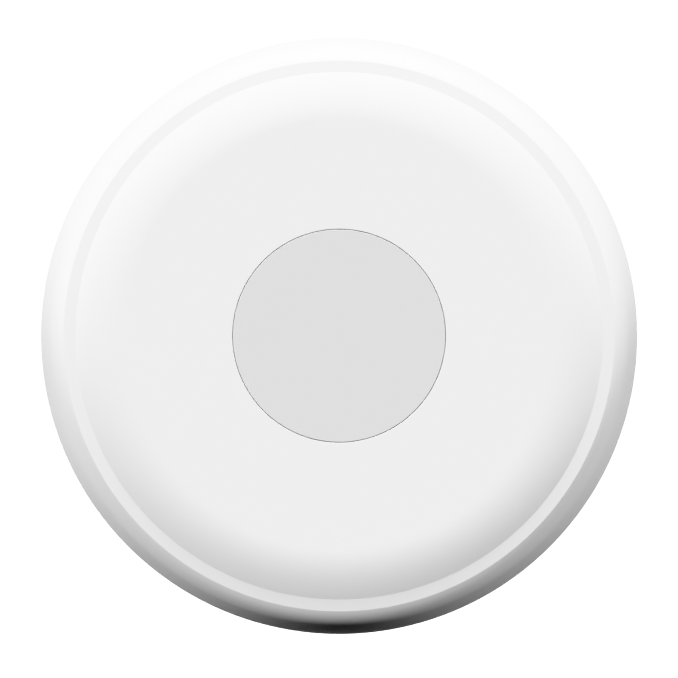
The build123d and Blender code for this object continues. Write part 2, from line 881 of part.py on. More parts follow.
# Pairing switch, upside down under the board and in line with the pinhole
reset_x = pinhole_r * cos(radians(pinhole_angle))
reset_y = pinhole_r * sin(radians(pinhole_angle))
reset_seat = Plane(origin=(reset_x, reset_y, board_z), x_dir=(1, 0, 0), z_dir=(0, 0, -1))
reset_dome_height = reset_dome_rest + reset_travel
reset_cover_low = reset_height - reset_sheet
reset_dome_top = reset_floor + reset_dome_height
reset_flange_diameter = reset_cavity_diameter - 2 * switch_fit
reset_hole_diameter = reset_plunger_diameter + 2 * switch_fit
reset_housing = tact_housing(
    reset_seat, reset_side, reset_cover_low, reset_floor, reset_cavity_diameter
)
keep(reset_housing, "reset_housing")
reset_dome = tact_dome(
    reset_seat, reset_floor, reset_flange_diameter, reset_dome_height, reset_dome_sheet
)
keep(reset_dome, "reset_dome")
reset_plunger = tact_plunger(
    reset_seat,
    reset_dome_top,
    reset_cover_low - plunger_play,
    reset_height + reset_plunger_rise,
    reset_flange_diameter,
    reset_plunger_diameter,
)
keep(reset_plunger, "reset_plunger")
reset_cover = tact_cover(
    reset_seat, reset_side, reset_cover_low, reset_sheet, reset_hole_diameter
)
keep(reset_cover, "reset_cover")
reset_terminals = tact_leads(
    reset_seat,
    reset_side,
    reset_lead_width,
    reset_lead_pitch,
    reset_lead_height,
    reset_lead_run,
    reset_lead_foot,
)
keep(reset_terminals, "reset_terminals")
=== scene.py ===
"""Looks of a round smart button that is pressed in the middle of its face.

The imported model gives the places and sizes. New pieces are surfaces worked out on grids of points,
in metres, in the model's own frame: +Z is up and +Y is towards the top of the button's face.
"""

import logging
from dataclasses import dataclass
from enum import Enum
from functools import lru_cache
from typing import Any, Optional, Sequence

import bpy
import numpy as np
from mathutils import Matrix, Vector


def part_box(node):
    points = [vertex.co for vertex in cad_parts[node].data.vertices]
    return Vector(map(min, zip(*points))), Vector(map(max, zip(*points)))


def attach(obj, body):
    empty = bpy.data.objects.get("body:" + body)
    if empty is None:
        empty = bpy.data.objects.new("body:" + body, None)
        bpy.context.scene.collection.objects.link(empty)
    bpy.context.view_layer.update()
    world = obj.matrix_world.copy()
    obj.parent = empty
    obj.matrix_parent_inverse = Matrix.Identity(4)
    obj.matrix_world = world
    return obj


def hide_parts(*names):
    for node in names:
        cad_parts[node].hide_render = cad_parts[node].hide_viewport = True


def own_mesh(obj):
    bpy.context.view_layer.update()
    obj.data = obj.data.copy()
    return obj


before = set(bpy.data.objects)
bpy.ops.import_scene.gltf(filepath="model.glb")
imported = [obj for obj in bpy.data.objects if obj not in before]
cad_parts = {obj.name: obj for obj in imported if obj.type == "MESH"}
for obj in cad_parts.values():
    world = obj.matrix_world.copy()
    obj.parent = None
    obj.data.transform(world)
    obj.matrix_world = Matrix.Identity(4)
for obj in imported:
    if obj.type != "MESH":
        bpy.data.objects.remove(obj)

LOG = logging.getLogger("smart_button")

MM = 0.001
MICRON = 1e-6
FULL_TURN = 2 * np.pi

# Steps of a full turn about the axis, of small and tiny rings, and of one rounded corner.
AXIS_STEPS = 256
SMALL_STEPS = 64
TINY_STEPS = 32
CORNER_STEPS = 5

# Shares of a side that a corner's rounding and its guard point take at most, how far the guard
# stands past the rounding, and the least tangent that a radius is divided by.
CORNER_REACH = 0.45
GUARD_REACH = 0.48
GUARD = 0.03 * MM
LEAST_TANGENT = 0.01

# Points closer than this are made one, and edges sharper than this stay sharp.
WELD = 1e-8
CREASE = np.radians(38)

# Angles in degrees of things that stand two or four about a middle.
HALVES = (0, 180)
QUARTERS = (0, 90, 180, 270)
DIAGONALS = (45, 135, 225, 315)


@dataclass(frozen=True)
class Reach:
    """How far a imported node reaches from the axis, and its lowest and highest point."""

    radius: float
    low: float
    high: float

    @classmethod
    def of(cls, node: str) -> "Reach":
        """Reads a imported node's reach at rest."""
        low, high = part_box(node)
        return cls(max(high.x, -low.x), low.z, high.z)

    @property
    def height(self) -> float:
        """How high the node is."""
        return self.high - self.low

    @property
    def middle(self) -> float:
        """The height half-way up the node."""
        return (self.low + self.high) / 2


@dataclass(frozen=True)
class Form:
    """A closed surface as points and four-cornered faces, before it becomes a mesh."""

    points: np.ndarray
    faces: np.ndarray

    @classmethod
    def grid(cls, points: np.ndarray, capped: bool = False) -> "Form":
        """Joins a grid of points into faces and turns them outwards.

        Point (i, j) is joined to (i + 1, j), (i + 1, j + 1) and (i, j + 1). Columns close on
        themselves. Rows close on themselves too, or each end row is closed by a fan about its
        middle. Faces point outwards when the sum of a . (b x c) over their halves is positive.

        Args:
            points: rows by columns by three coordinates.
            capped: whether the rows end in fans.

        Returns:
            The closed surface, with points that coincide made one.
        """
        if capped:
            ends = points[[0, -1]].mean(axis=1, keepdims=True)
            ends = np.broadcast_to(ends, (2, *points.shape[1:]))
            points = np.concatenate((ends[:1], points, ends[1:]))
        rows, columns = points.shape[:2]
        index = np.arange(rows * columns).reshape(rows, columns)
        index = np.hstack((index, index[:, :1]))
        if not capped:
            index = np.vstack((index, index[:1]))
        corners = (index[:-1, :-1], index[1:, :-1], index[1:, 1:], index[:-1, 1:])
        faces = np.stack(corners, axis=-1).reshape(-1, 4)
        flat = points.reshape(-1, 3)
        places = np.round(flat / WELD).astype(np.int64)
        _, first, inverse = np.unique(places, axis=0, return_index=True, return_inverse=True)
        flat = flat[first]
        faces = inverse.reshape(-1)[faces]
        a, b, c, d = (flat[faces[:, k]] for k in range(4))
        volume = (a * (np.cross(b, c) + np.cross(c, d))).sum()
        return cls(flat, faces if volume > 0 else faces[:, ::-1])

    def moved(self, x: float = 0.0, y: float = 0.0, z: float = 0.0) -> "Form":
        """The form shifted along X, Y and Z."""
        return Form(self.points + np.array((x, y, z)), self.faces)

    def turned_over(self) -> "Form":
        """The form turned half round about the X axis, so that its top faces down."""
        return Form(self.points * np.array((1.0, -1.0, -1.0)), self.faces)

    def laid(self) -> "Form":
        """The form turned a quarter about the X axis, so that its Z points along +Y."""
        return Form(self.points[:, (0, 2, 1)] * np.array((1.0, 1.0, -1.0)), self.faces)

    def around(self, angles: Sequence[float], radius: float = 0.0) -> "Form":
        """Copies of the form, each moved out along X and turned about the Z axis.

        Args:
            angles: one angle in degrees for each copy.
            radius: how far out the copies stand.

        Returns:
            All the copies as one form.
        """
        out = self.points + np.array((radius, 0.0, 0.0))
        copies = []
        for angle in np.radians(angles):
            c, s = np.cos(angle), np.sin(angle)
            spin = np.array(((c, s, 0.0), (-s, c, 0.0), (0.0, 0.0, 1.0)))
            copies.append(Form(out @ spin, self.faces))
        return joined(copies)

    def paired(self, half: float) -> "Form":
        """Two copies of the form, moved by the same distance to either side along Y."""
        return joined((self.moved(y=-half), self.moved(y=half)))

    def at(self, node: str) -> "Form":
        """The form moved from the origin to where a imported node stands, and turned outwards."""
        radius, angle = spot(node)
        return self.around((angle,), radius)


def spot(node: str) -> tuple[float, float]:
    """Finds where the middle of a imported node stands.

    Args:
        node: the node's name.

    Returns:
        The middle's distance from the axis and its angle in degrees.
    """
    low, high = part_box(node)
    middle = (low + high) / 2
    return float(np.hypot(middle.x, middle.y)), float(np.degrees(np.arctan2(middle.y, middle.x)))


def joined(forms: Sequence[Form]) -> Form:
    """Puts several forms into one, without joining their surfaces.

    Args:
        forms: the forms to take together.

    Returns:
        One form that holds them all.
    """
    starts = np.cumsum([0] + [len(form.points) for form in forms[:-1]])
    points = np.vstack([form.points for form in forms])
    faces = np.vstack([form.faces + start for form, start in zip(forms, starts)])
    return Form(points, faces)


def rounded(corners: Sequence[Sequence[float]], closed: bool = True) -> np.ndarray:
    """Rounds the corners of an outline.

    Each corner is (x, y, radius). Its curve is (1 - t)^2 A + 2 t (1 - t) C + t^2 B, where C is the
    corner and A and B lie on its two sides, the radius over the tangent of half the angle between
    them away. Just past A and B stands a guard point, which keeps the flat sides flat in the
    shading. A negative radius marks a point on a curve, which stays as it is.

    Args:
        corners: the corners in order.
        closed: whether the last corner is joined to the first.

    Returns:
        The outline's points, rows of x and y.
    """
    given = np.array(corners, float)
    corner, radius = given[:, :2], given[:, 2:]
    sides = [np.roll(corner, shift, axis=0) - corner for shift in (1, -1)]
    lengths = [np.maximum(np.linalg.norm(side, axis=1, keepdims=True), WELD) for side in sides]
    ways = [side / length for side, length in zip(sides, lengths)]
    half = np.arccos(np.clip((ways[0] * ways[1]).sum(axis=1, keepdims=True), -1, 1)) / 2
    room = np.minimum(*lengths)
    cut = np.maximum(radius, 0) / np.maximum(np.tan(half), LEAST_TANGENT)
    cut = np.minimum(cut, CORNER_REACH * room)
    guard = np.where(radius < 0, 0, np.minimum(cut + GUARD, GUARD_REACH * room))
    start, end = ((corner + way * cut)[:, None] for way in ways)
    t = np.linspace(0, 1, CORNER_STEPS)[:, None]
    curve = (1 - t) ** 2 * start + 2 * t * (1 - t) * corner[:, None] + t**2 * end
    guards = [(corner + way * guard)[:, None] for way in ways]
    line = np.concatenate((guards[0], curve, guards[1]), axis=1).reshape(-1, 2)
    if not closed:
        line = line[1:-1]
    kept = np.linalg.norm(line - np.roll(line, 1, axis=0), axis=1) > WELD
    kept[0] |= not closed
    return line[kept]


def open_line(*corners: Sequence[float]) -> np.ndarray:
    """A line with two free ends and rounded corners, each given as x, y and radius."""
    return rounded(corners, closed=False)


def marked(x: np.ndarray, y: np.ndarray) -> np.ndarray:
    """Corners for rounded that mark points on a curve. Either coordinate may be one number."""
    return np.stack(np.broadcast_arrays(x, y, -1.0), axis=1)


def bend(middle: Sequence[float], radius: float, start: float, end: float) -> np.ndarray:
    """Points of an arc in an upright section, as corners for rounded.

    Its distance from the axis is the middle's plus the radius times the sine of the lean, and its
    height is the middle's plus the radius times the cosine of the lean.

    Args:
        middle: the arc's middle, as distance and height.
        radius: the arc's radius.
        start: the first lean from level, in degrees.
        end: the last lean, in degrees.

    Returns:
        Rows of distance, height and the mark of a point on a curve.
    """
    lean = np.radians(np.linspace(start, end, TINY_STEPS))
    return marked(middle[0] + radius * np.sin(lean), middle[1] + radius * np.cos(lean))


def band(
    inner: float, outer: float, low: float, high: float, edge: float = 0.0
) -> tuple[tuple[float, float, float], ...]:
    """The four corners of a ring's section, with the outer top one rounded by the edge."""
    return (inner, low, 0), (outer, low, 0), (outer, high, edge), (inner, high, 0)


def turned(
    outline: np.ndarray, angles: Optional[np.ndarray] = None, steps: int = AXIS_STEPS
) -> Form:
    """Carries an outline about the Z axis.

    A point (d, z) of the outline at angle f comes to (d cos f, d sin f, z).

    Args:
        outline: rows of distance and height.
        angles: the angles in radians, one a row or one for each row and point, where the turn
            isn't a full one.
        steps: how many rows a full turn has.

    Returns:
        The ring, or a piece of it with closed ends.
    """
    whole = angles is None
    if whole:
        angles = np.linspace(0, FULL_TURN, steps, endpoint=False)
    if angles.ndim == 1:
        angles = angles[:, None]
    distance, height = outline[None, :, 0], outline[None, :, 1]
    flat = np.broadcast_to(height, np.broadcast_shapes(angles.shape, height.shape))
    grid = np.stack((distance * np.cos(angles), distance * np.sin(angles), flat), axis=-1)
    return Form.grid(grid, capped=not whole)


def ring(*corners: Sequence[float], steps: int = AXIS_STEPS) -> Form:
    """An outline carried about the Z axis, whose corners are distance, height and radius."""
    return turned(rounded(corners), steps=steps)


def raised(plan: np.ndarray, profile: np.ndarray, rows_first: bool) -> np.ndarray:
    """Gives the points of a plan the heights of a profile.

    Args:
        plan: a grid of x and y.
        profile: rows of distance and height.
        rows_first: whether the profile runs along the grid's rows, and not its columns.

    Returns:
        The grid of x, y and z.
    """
    height = profile[:, None, 1:] if rows_first else profile[None, :, 1:]
    return np.concatenate((plan, np.broadcast_to(height, (*plan.shape[:2], 1))), axis=-1)


def stacked(plan: np.ndarray, profile: np.ndarray) -> Form:
    """Carries a profile round a plan that lies about the Z axis, with flat ends.

    Where the profile lies w inside its widest point, a plan point is drawn in by w along X and
    along Y, each in proportion to how far out the point is.

    Args:
        plan: rows of x and y, the outline of a convex shape.
        profile: rows of distance and height, from one end to the other.

    Returns:
        The closed form.
    """
    half = np.abs(plan).max(axis=0)
    inset = (profile[:, 0].max() - profile[:, 0])[:, None, None]
    return Form.grid(raised(plan[None] * (half - inset) / half, profile, True), capped=True)


def block(size: Sequence[float], low: float, corner: float, edge: float) -> Form:
    """A block with rounded upright corners and rounded edges, over the origin.

    Args:
        size: its length along X, along Y and along Z.
        low: the height of its underside.
        corner: the radius of its upright corners.
        edge: the radius of its top and bottom edges.

    Returns:
        The block.
    """
    x, y, high = size[0] / 2, size[1] / 2, low + size[2]
    half = min(x, y)
    plan = rounded(((x, y, corner), (-x, y, corner), (-x, -y, corner), (x, -y, corner)))
    profile = open_line(
        (half / 2, low, 0), (half, low, edge), (half, high, edge), (half / 2, high, 0)
    )
    return stacked(plan, profile)


def rounded_square(half: float, corner: float) -> np.ndarray:
    """The outline of a square about the origin, with rounded corners and points along its sides.

    Each quarter is the one before it, turned by a right angle: (x, y) becomes (-y, x).

    Args:
        half: half the square's side.
        corner: the radius of its corners.

    Returns:
        Rows of x and y.
    """
    along = (half - 2 * corner) * np.linspace(-1, 1, SMALL_STEPS // 4)
    quarters = [np.vstack((marked(half, along), (half, half, corner)))]
    for _ in range(3):
        quarters.append(quarters[-1][:, (1, 0, 2)] * (-1, 1, 1))
    return rounded(np.vstack(quarters))


def plate(side: float, corner: float, hole: float, low: float, high: float, edge: float) -> Form:
    """A rounded square plate with a round hole, over the origin.

    At share s of the way out, a point is (1 - s) times the hole's rim plus s times the square's.

    Args:
        side: the square's side.
        corner: the radius of its corners.
        hole: the hole's radius.
        low: the height of its underside.
        high: the height of its top.
        edge: the radius of its edges.

    Returns:
        The plate.
    """
    square = rounded_square(side / 2, corner)
    angle = np.arctan2(square[:, 1], square[:, 0])
    rim = hole * np.stack((np.cos(angle), np.sin(angle)), axis=1)
    width = side / 2 - hole
    profile = rounded(((0, low, edge), (width, low, edge), (width, high, edge), (0, high, edge)))
    share = (profile[:, 0] / width)[None, :, None]
    return Form.grid(raised((1 - share) * rim[:, None] + share * square[:, None], profile, False))


def strip(path: np.ndarray, width: float, sheet: float, edge: float) -> Form:
    """A bent strip of sheet, whose path lies in the XZ plane.

    Each path point carries a rounded rectangle: its width lies along Y and its thickness along the
    path's normal, which is the path's direction turned by a quarter.

    Args:
        path: rows of x and z.
        width: the strip's width.
        sheet: its thickness.
        edge: the radius of its edges.

    Returns:
        The strip, with closed ends.
    """
    way = np.gradient(path, axis=0)
    way /= np.linalg.norm(way, axis=1, keepdims=True)
    normal = np.stack((-way[:, 1], way[:, 0]), axis=1)
    w, t = width / 2, sheet / 2
    section = rounded(((w, t, edge), (-w, t, edge), (-w, -t, edge), (w, -t, edge)))
    x = path[:, :1] + normal[:, :1] * section[None, :, 1]
    z = path[:, 1:] + normal[:, 1:] * section[None, :, 1]
    y = np.broadcast_to(section[None, :, 0], x.shape)
    return Form.grid(np.stack((x, y, z), axis=-1), capped=True)


def mesh_object(name: str, form: Form) -> bpy.types.Object:
    """Makes a mesh object of a form, smooth but for creases.

    Args:
        name: the piece's name.
        form: its surface.

    Returns:
        The object, at the origin and linked to the scene.
    """
    twins = form.faces == np.roll(form.faces, -1, axis=1)
    count = twins.sum(axis=1)
    quads = form.faces[count == 0].tolist()
    thirds = [np.delete(form.faces[twins[:, k] & (count == 1)], k, axis=1) for k in range(4)]
    mesh = bpy.data.meshes.new(name)
    mesh.from_pydata(form.points.tolist(), [], quads + np.vstack(thirds).tolist())
    mesh.validate()
    mesh.polygons.foreach_set("use_smooth", np.ones(len(mesh.polygons), bool))
    mesh.set_sharp_from_angle(angle=CREASE)
    mesh.update()
    return linked(name, mesh)


def linked(name: str, data: bpy.types.ID) -> bpy.types.Object:
    """Makes an object and links it to the scene.

    Args:
        name: the object's name.
        data: its mesh, light or camera.

    Returns:
        The object.
    """
    made = bpy.data.objects.new(name, data)
    bpy.context.scene.collection.objects.link(made)
    return made


def feed(node: bpy.types.Node, inputs: dict[Any, Any]) -> None:
    """Sets a node's inputs, or links them.

    Args:
        node: the node.
        inputs: a value or another node's output for each input's name or number.
    """
    for key, value in inputs.items():
        if isinstance(value, bpy.types.NodeSocket):
            node.id_data.links.new(value, node.inputs[key])
        else:
            node.inputs[key].default_value = value


def add_node(
    tree: bpy.types.NodeTree, kind: str, inputs: dict[Any, Any], **settings: Any
) -> bpy.types.NodeOutputs:
    """Adds a shader node to a material.

    Args:
        tree: the material's nodes.
        kind: the node's type, without the word ShaderNode.
        inputs: a value or another node's output for each input's name or number.
        settings: the node's own settings.

    Returns:
        The node's outputs.
    """
    node = tree.nodes.new(f"ShaderNode{kind}")
    for setting, value in settings.items():
        setattr(node, setting, value)
    feed(node, inputs)
    return node.outputs


def grey(level: float) -> tuple[float, float, float]:
    """A neutral colour of one level."""
    return (level, level, level)


class Pattern(Enum):
    """What the relief and the changes of tone on a surface look like."""

    GRAIN = "fine grain of a mould"
    STREAKS = "lines left by rolling"
    RINGS = "rings left by turning"
    CELLS = "open cells of a foam"
    WEAVE = "glass cloth under a coating"


@dataclass(frozen=True)
class Finish:
    """A surface's colour, gloss and relief. Its sizes are in metres.

    The colour changes by the mottle with the pattern's relief and with broad clouds.
    """

    name: str
    colour: tuple[float, float, float]
    roughness: float = 0.5
    metallic: float = 0.0
    pattern: Pattern = Pattern.GRAIN
    feature: float = 0.12 * MM
    depth: float = 1.0 * MICRON
    mottle: float = 0.02
    coat: float = 0.0
    see_through: float = 0.0
    gloss_change: float = 0.06
    least_roughness: float = 0.02
    cloud: float = 6 * MM
    cloud_share: float = 0.5
    relief_share: float = 0.5
    cloud_detail: float = 2.0
    grain_detail: float = 3.0
    streak_detail: float = 4.0
    streak_squeeze: float = 0.04
    line_waver: float = 1.2

    @lru_cache(maxsize=None)
    def material(self) -> bpy.types.Material:
        """Builds the material once.

        Returns:
            A material whose pattern drives its colour, roughness and bump.
        """
        made = bpy.data.materials.new(self.name)
        made.use_nodes = True
        tree = made.node_tree
        place = add_node(tree, "TexCoord", {})["Object"]
        relief = self.relief(tree, place)
        clouds = {0: self.noise(tree, place, self.cloud, self.cloud_detail), 1: self.cloud_share}
        broad = add_node(tree, "Math", clouds, operation="MULTIPLY")[0]
        blend = {0: relief, 1: self.relief_share, 2: broad}
        tone = {
            "A": self.shade(1 - self.mottle),
            "B": self.shade(1 + self.mottle),
            "Factor": add_node(tree, "Math", blend, operation="MULTIPLY_ADD", use_clamp=True)[0],
        }
        gloss = {
            "To Min": max(self.least_roughness, self.roughness - self.gloss_change),
            "To Max": min(1.0, self.roughness + self.gloss_change),
            "Value": relief,
        }
        looks = {
            "Metallic": self.metallic,
            "Coat Weight": self.coat,
            "Transmission Weight": self.see_through,
            "Base Color": add_node(tree, "Mix", tone, data_type="RGBA")["Result"],
            "Roughness": add_node(tree, "MapRange", gloss)["Result"],
            "Normal": add_node(tree, "Bump", {"Distance": self.depth, "Height": relief})["Normal"],
        }
        feed(tree.nodes["Principled BSDF"], looks)
        return made

    def shade(self, factor: float) -> tuple[float, float, float, float]:
        """The finish's colour, made lighter or darker by a factor."""
        return (*(min(1.0, part * factor) for part in self.colour), 1.0)

    def noise(
        self, tree: bpy.types.NodeTree, place: bpy.types.NodeSocket, size: float, detail: float
    ) -> bpy.types.NodeSocket:
        """Adds a noise from 0 to 1, with features of a given size and finer layers of detail."""
        inputs = {"Scale": 1 / size, "Detail": detail, "Vector": place}
        return add_node(tree, "TexNoise", inputs)["Fac"]

    def relief(self, tree: bpy.types.NodeTree, place: bpy.types.NodeSocket) -> bpy.types.NodeSocket:
        """Adds the nodes of the finish's pattern.

        Args:
            tree: the material's nodes.
            place: the coordinates that the pattern reads.

        Returns:
            The pattern's height, from about 0 to 1.
        """
        if self.pattern is Pattern.GRAIN:
            return self.noise(tree, place, self.feature, self.grain_detail)
        if self.pattern is Pattern.CELLS:
            cells = {"Scale": 1 / self.feature, "Vector": place}
            return add_node(tree, "TexVoronoi", cells)["Distance"]
        if self.pattern is Pattern.STREAKS:
            squeeze = {"Scale": (self.streak_squeeze, 1.0, 1.0), "Vector": place}
            along = add_node(tree, "Mapping", squeeze)["Vector"]
            return self.noise(tree, along, self.feature, self.streak_detail)
        lines = {"Scale": 1 / (self.feature * FULL_TURN), "Vector": place}
        wavy = lines | {"Distortion": self.line_waver}
        if self.pattern is Pattern.RINGS:
            return add_node(tree, "TexWave", wavy, wave_type="RINGS", rings_direction="Z")["Fac"]
        along = add_node(tree, "TexWave", wavy, bands_direction="X")["Fac"]
        across = add_node(tree, "TexWave", lines, bands_direction="Y")["Fac"]
        return add_node(tree, "Math", {0: along, 1: across}, operation="MAXIMUM")[0]


COVER_WHITE = Finish("cover_white", grey(0.75), roughness=0.5, mottle=0.004, depth=0.5 * MICRON)
KEY_GREY = Finish("key_grey", grey(0.58), roughness=0.55, mottle=0.004, depth=0.5 * MICRON)
PAD_FOAM = Finish(
    "pad_foam", grey(0.33), roughness=0.9, pattern=Pattern.CELLS,
    feature=0.25 * MM, depth=60 * MICRON, mottle=0.3,
)
SEAL_SILICONE = Finish("seal_silicone", (0.16, 0.17, 0.18), roughness=0.45, depth=0.4 * MICRON)
BOOT_SILICONE = Finish("boot_silicone", (0.62, 0.62, 0.60), depth=0.4 * MICRON, see_through=0.15)
SCREW_STEEL = Finish(
    "screw_steel", (0.55, 0.55, 0.56), roughness=0.3, metallic=1.0,
    feature=0.05 * MM, depth=0.6 * MICRON, mottle=0.08,
)
CELL_STEEL = Finish(
    "cell_steel", (0.66, 0.65, 0.63), roughness=0.26, metallic=1.0, pattern=Pattern.RINGS,
    feature=0.06 * MM, depth=0.3 * MICRON, mottle=0.05,
)
CELL_INSULATOR = Finish("cell_insulator", (0.72, 0.72, 0.70), roughness=0.45, see_through=0.2)
CELL_ELECTRODES = Finish("cell_electrodes", (0.05, 0.05, 0.055), roughness=0.85, mottle=0.3)
CONTACT_METAL = Finish(
    "contact_metal", (0.78, 0.62, 0.32), roughness=0.24, metallic=1.0, pattern=Pattern.STREAKS,
    feature=0.08 * MM, depth=0.4 * MICRON, mottle=0.06,
)
BOARD_LAMINATE = Finish(
    "board_laminate", (0.02, 0.13, 0.06), roughness=0.35, pattern=Pattern.WEAVE,
    feature=0.25 * MM, depth=2 * MICRON, mottle=0.08, coat=0.3,
)
TRACK_COPPER = Finish(
    "track_copper", (0.04, 0.22, 0.10), roughness=0.3, feature=0.2 * MM, mottle=0.1, coat=0.3
)
PAD_GOLD = Finish(
    "pad_gold", (0.85, 0.62, 0.25), roughness=0.25, metallic=1.0,
    feature=0.05 * MM, depth=0.3 * MICRON,
)
CHIP_EPOXY = Finish(
    "chip_epoxy", (0.018, 0.018, 0.02), roughness=0.55,
    feature=0.03 * MM, depth=1.5 * MICRON, mottle=0.3,
)
SHIELD_STEEL = Finish(
    "shield_steel", (0.62, 0.62, 0.61), roughness=0.32, metallic=1.0, pattern=Pattern.STREAKS,
    feature=0.06 * MM, depth=0.5 * MICRON, mottle=0.06,
)
ANTENNA_CERAMIC = Finish(
    "antenna_ceramic", (0.78, 0.77, 0.72), roughness=0.4, feature=0.05 * MM, mottle=0.05
)
LED_LENS = Finish(
    "led_lens", (0.85, 0.84, 0.70), roughness=0.18, feature=0.3 * MM, see_through=0.4
)
CAPACITOR_CERAMIC = Finish(
    "capacitor_ceramic", (0.42, 0.30, 0.19), roughness=0.45, feature=0.05 * MM, mottle=0.12
)
RESISTOR_FILM = Finish(
    "resistor_film", (0.025, 0.025, 0.03), roughness=0.3, feature=0.05 * MM, mottle=0.2
)
SWITCH_MOULDING = Finish("switch_moulding", (0.03, 0.03, 0.032), feature=0.06 * MM, mottle=0.2)
PLUNGER_MOULDING = Finish("plunger_moulding", (0.60, 0.58, 0.52), feature=0.06 * MM)
SWITCH_STEEL = Finish(
    "switch_steel", (0.64, 0.64, 0.63), roughness=0.28, metallic=1.0, pattern=Pattern.STREAKS,
    feature=0.05 * MM, depth=0.4 * MICRON, mottle=0.05,
)
LEAD_TIN = Finish(
    "lead_tin", (0.70, 0.70, 0.68), roughness=0.3, metallic=1.0,
    feature=0.06 * MM, depth=0.8 * MICRON, mottle=0.05,
)
FINISHES = {
    finish.name: finish
    for finish in (
        COVER_WHITE, KEY_GREY, PAD_FOAM, SEAL_SILICONE, BOOT_SILICONE, SCREW_STEEL, CELL_STEEL,
        CELL_INSULATOR, CELL_ELECTRODES, CONTACT_METAL, BOARD_LAMINATE, CHIP_EPOXY, SHIELD_STEEL,
        ANTENNA_CERAMIC, LED_LENS, CAPACITOR_CERAMIC, RESISTOR_FILM, SWITCH_MOULDING,
        PLUNGER_MOULDING, SWITCH_STEEL, LEAD_TIN,
    )
}


def dress(
    name: str, form: Form, finish: Finish, node: str = "", body: str = "housing"
) -> bpy.types.Object:
    """Makes a piece of a form, gives it its finish and lets it ride on a body.

    Args:
        name: the piece's name.
        form: its surface.
        finish: its finish.
        node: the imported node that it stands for, where it stands for one.
        body: the body that it rides on.

    Returns:
        The piece.
    """
    piece = mesh_object(name, form)
    piece.data.materials.append(finish.material())
    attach(piece, body)
    if node:
        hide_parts(node)
    LOG.info("%s: %d faces on %s", name, len(piece.data.polygons), body)
    return piece


def dress_packed() -> None:
    """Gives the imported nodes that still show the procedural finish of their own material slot."""
    shown = {name: node for name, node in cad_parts.items() if not node.hide_render}
    for name, node in shown.items():
        for place in node.material_slots:
            place.material = FINISHES[place.material.name.split(".")[0]].material()
        LOG.info("%s: packed node with a new finish", name)


